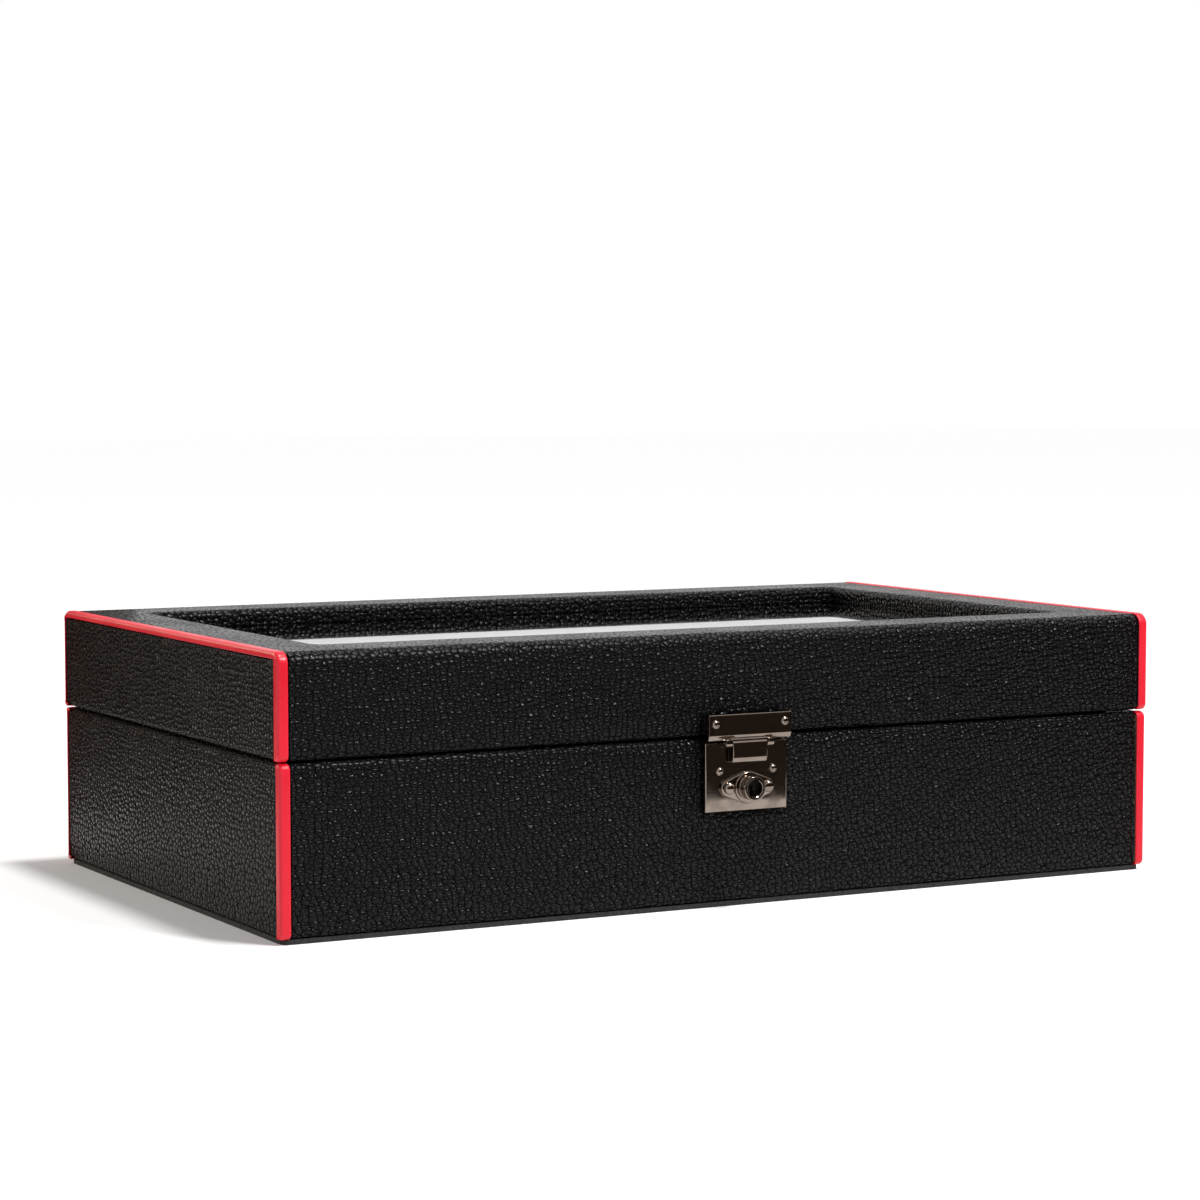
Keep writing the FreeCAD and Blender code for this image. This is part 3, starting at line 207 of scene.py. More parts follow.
def roll_drop(place, reach, roll):
    """Quarter circle: how far a surface sinks within one roll of its end."""
    part = np.clip((np.abs(place) - (reach - roll)) / roll, 0.0, 1.0)
    return roll * (1.0 - np.sqrt(np.maximum(1.0 - part ** 2, 0.0)))


def run_length(line):
    """Distance along a line of points, from its first point."""
    return np.concatenate([[0.0], np.cumsum(np.linalg.norm(np.diff(line, axis=0), axis=1))])


def turned(profile, x, z, steps, closed=False):
    """Surface of revolution and its faces: each (y, r) pair runs round the line x, z along Y."""
    profile = np.array(profile, float)
    angle = np.linspace(0.0, 2 * math.pi, steps, endpoint=False)
    y, radius = profile[:, :1], profile[:, 1:]
    grid = np.stack([x + radius * np.cos(angle), y + 0.0 * angle, z + radius * np.sin(angle)], axis=-1)
    return grid, grid_faces(len(profile), steps, closed, True)


def relief(outline, normals, levels):
    """A flat outline in X and Z raised in steps: each level is (set in, y)."""
    levels = np.array(levels, float)
    flat = outline[None] - levels[:, :1, None] * normals[None]
    depth = np.broadcast_to(levels[:, 1:], flat.shape[:2])
    return np.stack([flat[..., 0], depth, flat[..., 1]], axis=-1)


# Meshes and finishes

FINISHES = {}


def settings():
    """The sizes that a user would change."""
    return bpy.context.scene.watch_box_sizes


def new_mesh(name, points, faces):
    """A mesh of an array of points, in metres, and the corners of its faces."""
    mesh = bpy.data.meshes.new(name)
    mesh.from_pydata(points.tolist(), [], faces)
    return mesh


def placed(name, data):
    """A new object, linked to the scene."""
    made = bpy.data.objects.new(name, data)
    bpy.context.scene.collection.objects.link(made)
    return made


def positions(mesh):
    """A mesh's points as an array, in metres."""
    points = np.zeros(len(mesh.vertices) * 3)
    mesh.vertices.foreach_get("co", points)
    return points.reshape(-1, 3)


@contextmanager
def editing(mesh):
    """A bmesh of a mesh, written back when the block ends."""
    work = bmesh.new()
    work.from_mesh(mesh)
    yield work
    work.to_mesh(mesh)
    work.free()


def modify(piece, name, kind, **values):
    """Add a modifier with its settings."""
    modifier = piece.modifiers.new(name, kind)
    for key, value in values.items():
        setattr(modifier, key, value)


def make_piece(name, shells, body, finish, replaced=(), outward=None, crease=38.0,
               thickness=0.0, subdivide=0, edge=None, flow=None):
    """One object from grids of points, its seams merged and its faces outwards.

    edge marks how worn each point is, and flow is its place on the unrolled leather.
    """
    points, faces, start = [], [], 0
    for grid, quads in shells:
        flat = grid.reshape(-1, 3)
        points.append(flat)
        faces += [[corner + start for corner in face] for face in
                  (quads.tolist() if isinstance(quads, np.ndarray) else quads)]
        start += len(flat)
    mesh = new_mesh(name, np.concatenate(points) * MM, faces)
    if edge is not None:
        mesh.attributes.new("edge", "FLOAT", "POINT").data.foreach_set(
            "value", np.concatenate([part.reshape(-1) for part in edge]).astype(np.float32))
    if flow is not None:
        sheet = np.concatenate([part.reshape(-1, 2) for part in flow]) * MM
        sheet = np.column_stack([sheet, np.zeros(len(sheet))]).astype(np.float32)
        mesh.attributes.new("flow", "FLOAT_VECTOR", "POINT").data.foreach_set("vector", sheet.ravel())
    with editing(mesh) as work:
        bmesh.ops.remove_doubles(work, verts=work.verts, dist=2e-6)
        bmesh.ops.dissolve_degenerate(work, edges=work.edges, dist=1e-7)
        bmesh.ops.recalc_face_normals(work, faces=work.faces)
    if outward is not None:
        count = len(mesh.polygons)
        normals, areas = np.zeros(count * 3), np.zeros(count)
        mesh.polygons.foreach_get("normal", normals)
        mesh.polygons.foreach_get("area", areas)
        if (normals.reshape(-1, 3) * areas[:, None]).sum(axis=0) @ np.array(outward, float) < 0:
            mesh.flip_normals()
    return finish_piece(name, mesh, body, finish, replaced, crease, thickness, subdivide)


def finish_piece(name, mesh, body, finish, replaced=(), crease=38.0, thickness=0.0,
                 subdivide=0, bevel=0.0):
    """Link a mesh as a piece that rides a body and stands for its CAD nodes."""
    mesh.materials.clear()
    mesh.materials.append(FINISHES[finish])
    mesh.shade_smooth()
    mesh.set_sharp_from_angle(angle=math.radians(crease))
    piece = placed(name, mesh)
    if bevel:
        modify(piece, "Bevel", "BEVEL", width=bevel * MM, segments=3, limit_method="ANGLE",
               angle_limit=math.radians(35), use_clamp_overlap=True)
        modify(piece, "Flat Faces", "WEIGHTED_NORMAL", weight=100, keep_sharp=True)
    if thickness:
        modify(piece, "Solidify", "SOLIDIFY", thickness=thickness * MM, offset=-1.0,
               use_even_offset=False)
    if subdivide:
        modify(piece, "Subdivision", "SUBSURF", levels=subdivide, render_levels=subdivide)
    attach(piece, body)
    if replaced:
        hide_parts(*replaced)
    return piece


def cover_node(node, body, shells, outward, worn, sheets, ending="_leather", finish="leather"):
    """One piece of leather over its node, as thick as the leather is."""
    make_piece(node + ending, shells, body, finish, (node,), outward,
               thickness=settings().leather, edge=worn, flow=sheets)


def copy_node(node, name, body, finish, bevel, crease=38.0, reshape=None):
    """A CAD node's own shape, merged into clean flat faces and given softened edges."""
    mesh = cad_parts[node].data.copy()
    if reshape is not None:
        mesh.vertices.foreach_set("co", (reshape(positions(mesh) / MM) * MM).ravel())
    with editing(mesh) as work:
        bmesh.ops.remove_doubles(work, verts=work.verts, dist=1e-6)
        bmesh.ops.dissolve_limit(work, angle_limit=math.radians(0.6), verts=work.verts, edges=work.edges)
    finish_piece(name, mesh, body, finish, (node,), crease, bevel=bevel)


class Nodes:
    """One node tree, with short calls for adding and joining its nodes."""

    def __init__(self, tree):
        self.tree = tree

    def add(self, kind, **values):
        """A new node with its own settings."""
        node = self.tree.nodes.new(kind)
        for key, value in values.items():
            setattr(node, key, value)
        return node

    def join(self, source, target):
        """Link one socket to another."""
        self.tree.links.new(source, target)

    def place(self):
        """The point's place on the object, in metres."""
        return self.add("ShaderNodeTexCoord").outputs["Object"]

    def attribute(self, name, output):
        """A mesh attribute as a value or a vector."""
        return self.add("ShaderNodeAttribute", attribute_name=name).outputs[output]

    def group(self, tree, vector, socket="Vector"):
        """A node group placed in this tree, read at a vector."""
        node = self.add("ShaderNodeGroup", node_tree=tree)
        self.join(vector, node.inputs[socket])
        return node

    def noise(self, vector, scale, detail=2.0, roughness=0.5, output="Fac"):
        """Cloudy pattern with scale bumps to the metre, as a value or a colour."""
        node = self.add("ShaderNodeTexNoise")
        for label, value in (("Scale", scale), ("Detail", detail), ("Roughness", roughness)):
            node.inputs[label].default_value = value
        self.join(vector, node.inputs["Vector"])
        return node.outputs[output]

    def ramp(self, source, low, high, first, second):
        """Smooth step: first up to low, second from high on."""
        node = self.add("ShaderNodeMapRange", interpolation_type="SMOOTHSTEP")
        for index, value in enumerate((low, high, first, second), start=1):
            node.inputs[index].default_value = value
        self.join(source, node.inputs[0])
        return node.outputs[0]

    def math(self, operation, first, second):
        """Arithmetic on two sockets or numbers."""
        node = self.add("ShaderNodeMath", operation=operation)
        for index, value in enumerate((first, second)):
            if isinstance(value, (int, float)):
                node.inputs[index].default_value = value
            else:
                self.join(value, node.inputs[index])
        return node.outputs[0]

    def vector_math(self, operation, first, second):
        """Arithmetic on a vector socket and a fixed vector, another socket or, to scale, a number."""
        node = self.add("ShaderNodeVectorMath", operation=operation)
        self.join(first, node.inputs[0])
        if isinstance(second, tuple):
            node.inputs[1].default_value = second
        else:
            self.join(second, node.inputs["Scale" if operation == "SCALE" else 1])
        return node.outputs[0]

    def mix(self, factor, first, second):
        """Blend of two colours, each a socket or a fixed colour."""
        node = self.add("ShaderNodeMix", data_type="RGBA")
        self.join(factor, node.inputs[0])
        for index, value in ((6, first), (7, second)):
            if isinstance(value, tuple):
                node.inputs[index].default_value = (*value, 1.0)
            else:
                self.join(value, node.inputs[index])
        return node.outputs[2]

    def seen(self):
        """1 for rays from the camera, from a reflection and through glass, else 0."""
        path = self.add("ShaderNodeLightPath").outputs
        direct = self.math("MAXIMUM", path["Is Camera Ray"], path["Is Glossy Ray"])
        return self.math("MAXIMUM", direct, path["Is Transmission Ray"])


class Finish(Nodes):
    """A material with its node tree and shader."""

    def __init__(self, name):
        self.material = bpy.data.materials.new(name)
        self.material.use_nodes = True
        super().__init__(self.material.node_tree)
        self.shader = self.tree.nodes["Principled BSDF"]

    def fix(self, **values):
        """Set the shader's own sockets; a socket's name has its spaces written as _."""
        for label, value in values.items():
            self.shader.inputs[label.replace("_", " ")].default_value = value

    def feed(self, label, source):
        """Join a socket to one of the shader's."""
        self.join(source, self.shader.inputs[label])

    def bump(self, height, distance):
        """Relief whose highest point stands a distance, in metres, over its lowest."""
        node = self.add("ShaderNodeBump")
        node.inputs["Strength"].default_value = 1.0
        node.inputs["Distance"].default_value = distance
        self.join(height, node.inputs["Height"])
        self.feed("Normal", node.outputs["Normal"])


def toned(colour, factor):
    """A colour times a factor, held below 0.85."""
    return tuple(min(factor * part, 0.85) for part in colour)


def node_group(name, inputs, outputs):
    """An empty shader node group with named sockets, its inputs and its outputs."""
    tree = bpy.data.node_groups.new(name, "ShaderNodeTree")
    for label, kind in inputs:
        tree.interface.new_socket(label, in_out="INPUT", socket_type="NodeSocket" + kind)
    for label in outputs:
        tree.interface.new_socket(label, in_out="OUTPUT", socket_type="NodeSocketFloat")
    group = Nodes(tree)
    return group, group.add("NodeGroupInput").outputs, group.add("NodeGroupOutput").inputs


def grain_group():
    """Pebbled leather: wavering oblong domes on the unrolled sheet, parted by deep creases.

    A pebble's height is 1 - 0.7 * (distance from its middle / 0.8) squared
    - 0.3 * (1 - edge distance / 0.26) squared, with fine pores.
    """
    group, given, out = node_group(
        "Leather Grain", (("Sheet", "Vector"), ("Place", "Vector"), ("Cells per Metre", "Float"),
                          ("Waver", "Float")), ("Height", "Crease", "Mottle"))
    cloud = group.noise(given["Sheet"], 260.0, output="Color")
    centred = group.vector_math("SUBTRACT", cloud, (0.5, 0.5, 0.5))
    pushed = group.vector_math("SCALE", centred, given["Waver"])
    place = group.vector_math("ADD", given["Sheet"], pushed)
    oblong = group.vector_math("MULTIPLY", place, (1.0, 1.2, 1.0))
    pebbles = {}
    for feature in ("DISTANCE_TO_EDGE", "F1"):
        cells = group.add("ShaderNodeTexVoronoi", voronoi_dimensions="2D", feature=feature)
        cells.inputs["Randomness"].default_value = 0.9
        group.join(oblong, cells.inputs["Vector"])
        group.join(given["Cells per Metre"], cells.inputs["Scale"])
        pebbles[feature] = cells.outputs["Distance"]
    edge = pebbles["DISTANCE_TO_EDGE"]
    fall = group.math("SUBTRACT", 1.0, group.math("MINIMUM", group.math("DIVIDE", edge, 0.26), 1.0))
    away = group.math("DIVIDE", pebbles["F1"], 0.8)
    lost = group.math("ADD", group.math("MULTIPLY", group.math("MULTIPLY", fall, fall), 0.3),
                      group.math("MULTIPLY", group.math("MULTIPLY", away, away), 0.7))
    dome = group.math("SUBTRACT", 1.0, lost)
    pores = group.math("MULTIPLY", group.noise(given["Place"], 2600.0), 0.03)
    group.join(group.math("ADD", dome, pores), out["Height"])
    group.join(group.ramp(edge, 0.0, 0.14, 1.0, 0.0), out["Crease"])
    group.join(group.noise(given["Place"], 45.0, 4.0), out["Mottle"])
    return group.tree


def nap_group():
    """Brushed nap of suede: short fibres, and soft patches where it lies the other way."""
    group, given, out = node_group("Suede Nap", (("Vector", "Vector"),), ("Height", "Patch"))
    group.join(group.noise(given["Vector"], 2600.0, 3.0), out["Height"])
    patch = group.noise(given["Vector"], 110.0, 5.0, 0.6)
    group.join(group.ramp(patch, 0.38, 0.64, 0.0, 1.0), out["Patch"])
    return group.tree


def handling_group():
    """Handled metal: soft smears, fine scratches along X and small dull spots."""
    group, given, out = node_group("Handled Metal", (("Vector", "Vector"),), ("Smear", "Scratch", "Spots"))
    group.join(group.noise(given["Vector"], 160.0, 4.0), out["Smear"])
    stretch = group.add("ShaderNodeMapping")
    stretch.inputs["Scale"].default_value = (90.0, 2600.0, 3400.0)
    stretch.inputs["Rotation"].default_value = (0.0, 0.16, 0.0)
    group.join(given["Vector"], stretch.inputs["Vector"])
    scratch = group.noise(stretch.outputs["Vector"], 1.0)
    group.join(group.ramp(scratch, 0.5, 0.75, 0.0, 1.0), out["Scratch"])
    group.join(group.ramp(group.noise(given["Vector"], 1500.0), 0.6, 0.72, 0.0, 1.0), out["Spots"])
    return group.tree


def leather_finish(name, colour, groups, cells, bump, specular, roughness, worn, crease, polish):
    """Pebbled leather: polished pebbles, creases painted darker and kept from reflecting as painted shade,
    paler where folds are rubbed.
    """
    finish = Finish(name)
    grain = finish.group(groups["grain"], finish.place(), "Place")
    grain.inputs["Cells per Metre"].default_value = cells
    grain.inputs["Waver"].default_value = 0.0012
    finish.join(finish.attribute("flow", "Vector"), grain.inputs["Sheet"])
    height, crease_and_shade, mottle = (grain.outputs[label] for label in ("Height", "Crease", "Mottle"))
    # The crease factor paints the creases darker: painted shade
    pebble = finish.mix(crease_and_shade, colour, toned(colour, crease))
    shade = finish.mix(finish.ramp(mottle, 0.35, 0.7, 0.0, 0.35), pebble, toned(colour, 1.5))
    rubbed = finish.math("MULTIPLY", finish.attribute("edge", "Fac"),
                         finish.ramp(mottle, 0.4, 0.62, 0.25, 1.0))
    finish.feed("Base Color", finish.mix(rubbed, shade, worn))
    finish.feed("Roughness", finish.math(
        "ADD", finish.math("MULTIPLY", crease_and_shade, 0.75 * (1 - crease)),
        finish.ramp(mottle, 0.3, 0.7, roughness - 0.05, roughness + 0.08)))
    # Metallic with a near-black colour keeps the creases from reflecting: painted shade
    finish.feed("Metallic", finish.math("MULTIPLY", crease_and_shade, 0.95 * (1 - crease)))
    finish.feed("Coat Weight", finish.ramp(height, 0.55, 0.98, 0.0, polish))
    finish.fix(Specular_IOR_Level=specular, Coat_Roughness=0.24)
    finish.bump(height, bump)
    return finish.material


def suede_finish(name, colour, groups, pale):
    """Suede: a brushed nap that is paler and smoother in patches, with a faint sheen."""
    finish = Finish(name)
    nap = finish.group(groups["nap"], finish.place())
    finish.feed("Base Color", finish.mix(nap.outputs["Patch"], colour, toned(colour, pale)))
    finish.feed("Roughness", finish.ramp(nap.outputs["Patch"], 0.0, 1.0, 0.96, 0.86))
    finish.fix(Specular_IOR_Level=0.15, Sheen_Weight=0.12, Sheen_Roughness=0.45)
    finish.bump(nap.outputs["Height"], 0.00012)
    return finish.material


def metal_finish(name, colour, groups, roughness):
    """Polished plated metal, a little darker and duller in smears, with fine scratches."""
    finish = Finish(name)
    handled = finish.group(groups["handling"], finish.place())
    smear, scratch, spots = (handled.outputs[label] for label in ("Smear", "Scratch", "Spots"))
    tone = finish.mix(finish.ramp(smear, 0.4, 0.7, 0.0, 0.7), colour, toned(colour, 0.72))
    finish.feed("Base Color", finish.mix(finish.math("MULTIPLY", spots, 0.3), tone, toned(colour, 0.5)))
    finish.feed("Roughness", finish.math(
        "ADD", finish.ramp(smear, 0.35, 0.7, roughness, roughness + 0.05),
        finish.math("MULTIPLY", scratch, 0.03)))
    finish.fix(Metallic=1.0)
    finish.bump(smear, 0.000005)
    return finish.material


def board_finish(name, colour):
    """Pressed fibreboard or card: matted fibres, paler and darker."""
    finish = Finish(name)
    fibres = finish.noise(finish.place(), 900.0, 6.0)
    finish.feed("Base Color", finish.mix(finish.ramp(fibres, 0.35, 0.65, 0.0, 1.0), colour,
                                         toned(colour, 0.6)))
    finish.feed("Roughness", finish.ramp(fibres, 0.3, 0.7, 0.8, 0.95))
    finish.bump(fibres, 0.0001)
    return finish.material


def glass_finish(name):
    """Clear float glass with a faint film of dust."""
    finish = Finish(name)
    dust = finish.noise(finish.place(), 30.0, 5.0)
    finish.feed("Roughness", finish.ramp(dust, 0.4, 0.75, 0.004, 0.03))
    finish.fix(Base_Color=(0.955, 0.975, 0.965, 1.0), Transmission_Weight=1.0, IOR=1.52)
    return finish.material


def make_finishes():
    """Every finish of the box, by name."""
    colours, sizes = bpy.context.scene.watch_box_colours, bpy.context.scene.watch_box_sizes
    groups = {"grain": grain_group(), "nap": nap_group(), "handling": handling_group()}
    cells = 1000.0 / sizes.grain
    leather, piping = tuple(colours.leather), tuple(colours.piping)
    suede, pillow = tuple(colours.suede), tuple(colours.pillow)
    return {
        # crease: how dark the creases are painted as shade, strong on the black leather and slight on the
        # red piping
        "leather": leather_finish("Black Pebbled Leather", leather, groups, cells, bump=0.0008,
                                  specular=0.105, roughness=0.17, worn=(0.010, 0.009, 0.0095),
                                  crease=0.1, polish=0.08),
        "piping": leather_finish("Red Piping Leather", piping, groups, cells * 1.3, bump=0.000018,
                                 specular=0.3, roughness=0.33, worn=(0.70, 0.014, 0.034),
                                 crease=0.93, polish=0.1),
        "metal": metal_finish("Gunmetal", tuple(colours.metal), groups, 0.03),
        # The key plug is painted near black: painted shade deep in the barrel's bore
        "plug": metal_finish("Plug Steel Painted Bore Shade", (0.018, 0.016, 0.015), groups, 0.4),
        "steel": metal_finish("Spring Steel", (0.55, 0.55, 0.56), groups, 0.22),
        "suede": suede_finish("Lining Suede", suede, groups, 1.35),
        "pillow": suede_finish("Pillow Suede", pillow, groups, 1.3),
        "board": board_finish("Fibreboard", tuple(colours.board)),
        "card": board_finish("Black Base Card", (0.02, 0.02, 0.021)),
        "glass": glass_finish("Window Glass"),
    }


# Body and lid covers

# Steps along the straight sides of a loop, then rounds and the widths of the red strips
LOOP_X, LOOP_Y = 72, 36
RIM_ROUND, FOOT_ROUND, TOP_ROUND, ROUND_OVER = 2.2, 2.0, 4.0, 3.8
STRIP, LID_STRIP, REAR_STRIP = 3.6, 2.4, 1.3


def fold_mask(normals):
    """0 on flat runs, 1 where the leather turns a corner, from the larger part of its normal."""
    return np.clip((1.0 - np.max(np.abs(normals), axis=1)) / 0.29, 0.0, 1.0)


def carried(line, normals, place, centre, reach, along):
    """Profile(v) - drop(u) * normal(v), carried along X (0) or Y (1), its wear and its sheet."""
    roll = settings().roll
    line, normals = spread(line, normals, 4.0)
    drop = roll_drop(place, reach, roll)[:, None, None]
    section = line[None] - drop * normals[None]
    run = np.broadcast_to(place[:, None] + centre, section.shape[:2])
    parts = [section[..., 0], section[..., 1]]
    parts.insert(along, run)
    worn = np.maximum(fold_mask(normals)[None], drop[..., 0] / roll * 0.7)
    sheet = np.stack([run, np.broadcast_to(run_length(line), run.shape)], axis=-1)
    return np.stack(parts, axis=-1), grid_faces(len(place), len(line)), worn, sheet


def straight_cover(line, normals, low, high, along):
    """A profile carried from low to high, rolled over at both ends."""
    reach, centre = (high - low) / 2, (high + low) / 2
    return carried(line, normals, end_samples(reach, settings().roll, 6.0), centre, reach, along)


def body_section(face, inside, foot, rim, crown):
    """Inside the rim, over it, down the swelling face and under the foot."""
    edge, slope, bow = face - math.copysign(crown, face), 6, 40
    return rounded_line([(inside, rim, 0), (edge, rim, RIM_ROUND), (face, rim - slope, bow),
                         (face, foot + slope, bow), (edge, foot, FOOT_ROUND), (inside, foot, 0)],
                        (inside, (foot + rim) / 2))


class WATCHBOX_OT_body_covers(bpy.types.Operator):
    """Black leather on the four sides of the body, folded over the rim and under the foot"""
    bl_idname = "watchbox.body_covers"
    bl_label = "Body Covers"

    def execute(self, context):
        crown = settings().crown
        for node, along, way in (("body_front_cover", 0, -1), ("body_rear_cover", 0, 1),
                                 ("body_left_cover", 1, -1), ("body_right_cover", 1, 1)):
            low, high = extent(node)
            face, inside = (low, high) if way < 0 else (high, low)
            line, normals = body_section(face[1 - along], inside[1 - along], low[2], high[2], crown)
            last = high[along] + (STRIP - REAR_STRIP if along == 1 else 0.0)
            grid, faces, worn, sheet = straight_cover(line, normals, low[along], last, along)
            if node == "body_front_cover":
                faces = self.mortise(grid, faces)
            outward = (0, way, 0) if along == 0 else (way, 0, 0)
            cover_node(node, "body", [(grid, faces)], outward, [worn], [sheet])
        return {"FINISHED"}

    @staticmethod
    def mortise(grid, faces):
        """Leave out the faces that the lock's case passes through, behind its plate."""
        low, high = extent("lock_case")
        middle = grid.reshape(-1, 3)[faces].mean(axis=1)
        inside = np.all((middle[:, ::2] > low[::2] - 0.5) & (middle[:, ::2] < high[::2] + 0.5), axis=1)
        return faces[~inside]


class WATCHBOX_OT_lid_covers(bpy.types.Operator):
    """Black leather over the lid, turned down into its window, and its two end panels"""
    bl_idname = "watchbox.lid_covers"
    bl_label = "Lid Covers"

    def execute(self, context):
        self.window_cover()
        for node, way in (("lid_left_cover", -1), ("lid_right_cover", 1)):
            low, high = extent(node)
            high[2] += STRIP - LID_STRIP
            face, inside = (low[0], high[0]) if way < 0 else (high[0], low[0])
            line, normals = rounded_line([(inside, low[2], 0), (face, low[2], RIM_ROUND),
                                          (face, high[2], 0.7), (face - way * 0.8, high[2], 0)],
                                         (inside, (low[2] + high[2]) / 2))
            grid, faces, worn, sheet = straight_cover(line, normals, low[1],
                                                      high[1] + STRIP - REAR_STRIP, 1)
            cover_node(node, "lid", [(grid, faces)], (way, 0, 0), [worn], [sheet])
        return {"FINISHED"}

    def window_cover(self):
        """A ring of leather round the window, and an apron down each long side of the lid."""
        low, high = extent("lid_cover")
        flat_y = high[1] - ROUND_OVER - settings().crown
        ring, ends = self.window_ring(high, flat_y)
        parts = [ring] + [self.apron(way, ends, low, high, flat_y) for way in (-1, 1)]
        shells, worn, sheets = zip(*parts)
        cover_node("lid_cover", "lid", shells, (0, 0, 1), worn, sheets)

    def window_ring(self, high, flat_y):
        """Loops round the window grow from its wall to the rectangle where the long edges round
        over. Each level of the window's edge is (distance out from the wall, height)."""
        pane = extent("glass_pane")[1]
        roll, reach, top = settings().roll, high[0], high[2]
        lap, corner, edge_round = 8.0, 2.5, 2.5
        wall = pane[:2] - lap
        straight = wall - corner
        near = np.array([10.0, 3.0, 0.7, 0.56, 0.4, 0.22, 0.08, 0.0])
        angle = np.linspace(0, math.pi / 2, 11)
        levels = [(0.0, pane[2]), (0.0, pane[2] + 0.7)]
        levels += list(zip(edge_round * (1 - np.cos(angle)), top - edge_round + edge_round * np.sin(angle)))
        levels = np.array(levels + [(3.6, top), (5.0, top)])
        unrolled = run_length(levels) + levels[-1, 0] - run_length(levels)[-1]
        rows, worn, sheets = [], [], []
        for (offset, height), spot in zip(levels, unrolled):
            flat = self.loop(straight, corner + offset, len(near))
            rows.append(np.column_stack([flat, np.full(len(flat), height)]))
            worn.append(np.full(len(flat), 1.0 if 0.1 < offset < 2.4 else 0.0))
            sheets.append(self.loop(straight, corner + spot, len(near)))
        last = rows[-1]
        outer = np.column_stack([self.square(straight, np.array([reach, flat_y]), near),
                                 np.full(len(last), top)])
        width = reach - (wall[0] + levels[-1, 0])
        for share in np.concatenate([[0.2, 0.45, 0.7, 0.85], 1 - near[2:] / width]):
            rows.append(last * (1 - share) + outer * share)
            worn.append(np.zeros(len(outer)))
            sheets.append(rows[-1][:, :2])
        ring = np.stack(rows)
        drop = roll_drop(ring[..., 0], reach, roll)
        ring[..., 2] -= drop
        row = outer[:LOOP_X + 1 + len(near)]
        ends = np.concatenate([-row[::-1][:len(near), 0], row[:, 0]])
        shell = (ring, grid_faces(len(rows), ring.shape[1], wrap_columns=True))
        return (shell, np.maximum(np.stack(worn), drop / roll * 0.7), np.stack(sheets)), ends

    @staticmethod
    def apron(way, ends, low, high, flat_y):
        """The round of a long edge, its swelling face and the fold under its rim, along X."""
        top, rim, inner = high[2], low[2], high[1] - settings().crown
        shoulder, skirt, bow, tuck = 10, 7, 50, 8.2
        line, normals = rounded_line([(way * flat_y, top, 0), (way * inner, top, ROUND_OVER),
                                      (way * high[1], top - shoulder, bow),
                                      (way * high[1], rim + skirt, bow),
                                      (way * inner, rim, RIM_ROUND), (way * (high[1] - tuck), rim, 0)],
                                     (way * (flat_y - tuck), (top + rim) / 2), 12)
        grid, faces, worn, sheet = carried(line, normals, ends, 0.0, high[0], 0)
        sheet[..., 1] = way * (flat_y + sheet[..., 1])
        return (grid, faces), worn, sheet

    @staticmethod
    def sides(straight, half):
        """The straight front and right side of a loop, half a length out from the middle."""
        along_x = np.linspace(-straight[0], straight[0], LOOP_X + 1)
        along_y = np.linspace(-straight[1], straight[1], LOOP_Y + 1)
        return (np.stack([along_x, np.full(LOOP_X + 1, -half[1])], axis=1),
                np.stack([np.full(LOOP_Y + 1, half[0]), along_y], axis=1))

    @staticmethod
    def closed(front, bend, right):
        """A loop from its front, one bend and its right side, turned and mirrored."""
        turn = bend[::-1] * np.array([1.0, -1.0])
        return np.concatenate([front, bend, right, turn, -front, -bend, -right, -turn])

    @classmethod
    def loop(cls, straight, radius, steps):
        """Rectangle whose corners are arcs: corner + radius * (sin, -cos) of an even angle."""
        front, right = cls.sides(straight, straight + radius)
        angle = np.linspace(0, math.pi / 2, 2 * steps + 1)[1:-1]
        bend = np.stack([straight[0] + radius * np.sin(angle),
                         -straight[1] - radius * np.cos(angle)], axis=1)
        return cls.closed(front, bend, right)

    @classmethod
    def square(cls, straight, half, near):
        """Rectangle with sharp corners and as many points as a loop, some near each corner."""
        front, right = cls.sides(straight, half)
        bend = np.concatenate([np.stack([half[0] - near, np.full(len(near), -half[1])], axis=1),
                               np.stack([np.full(len(near), half[0]), near[::-1] - half[1]], axis=1)[1:]])
        return cls.closed(front, bend, right)


# Piping

def strip_grid(line, normals, outer, inner, box):
    """A strip bent along a line in Y and Z: flat across X, round over the outer edge, then
    straight in over the end face to the nearest point of an inner box."""
    radius = settings().piping_edge
    way = math.copysign(1.0, outer)
    angle = np.linspace(0.0, math.pi / 2, 9)[1:]
    lead = np.array([0.0, 0.08, 0.25, 0.5])
    across = np.concatenate([abs(inner) + lead, np.linspace(abs(inner) + 0.9, abs(outer) - radius, 4),
                             abs(outer) - radius + radius * np.sin(angle)])
    inset = np.concatenate([0.3 * (1 - lead / 0.5) ** 2, np.zeros(4), radius * (1 - np.cos(angle))])
    flat = line[:, None] - inset[None, :, None] * normals[:, None]
    start = flat[:, -1]
    target = np.clip(start, box[0], box[1])
    share = np.array([0.3, 0.6, 0.86, 0.95, 1.0])
    facet = start[:, None] + share[None, :, None] * (target - start)[:, None]
    section = np.concatenate([flat, facet], axis=1)
    x = np.concatenate([across, abs(outer) - np.array([0.0, 0.0, 0.03, 0.1, 0.28])]) * way
    grid = np.concatenate([np.broadcast_to(x, section.shape[:2])[..., None], section], axis=-1)
    worn = np.concatenate([[0.8, 0.5, 0.2, 0.0], np.zeros(4), np.sin(angle * 2), [0.0, 0.0, 0.1, 0.4, 0.8]])
    width = np.concatenate([across, abs(outer) + 3.0 * share])
    sheet = np.stack(np.broadcast_arrays(run_length(line)[:, None], width[None]), axis=-1)
    return grid, np.broadcast_to(worn, section.shape[:2]).copy(), sheet


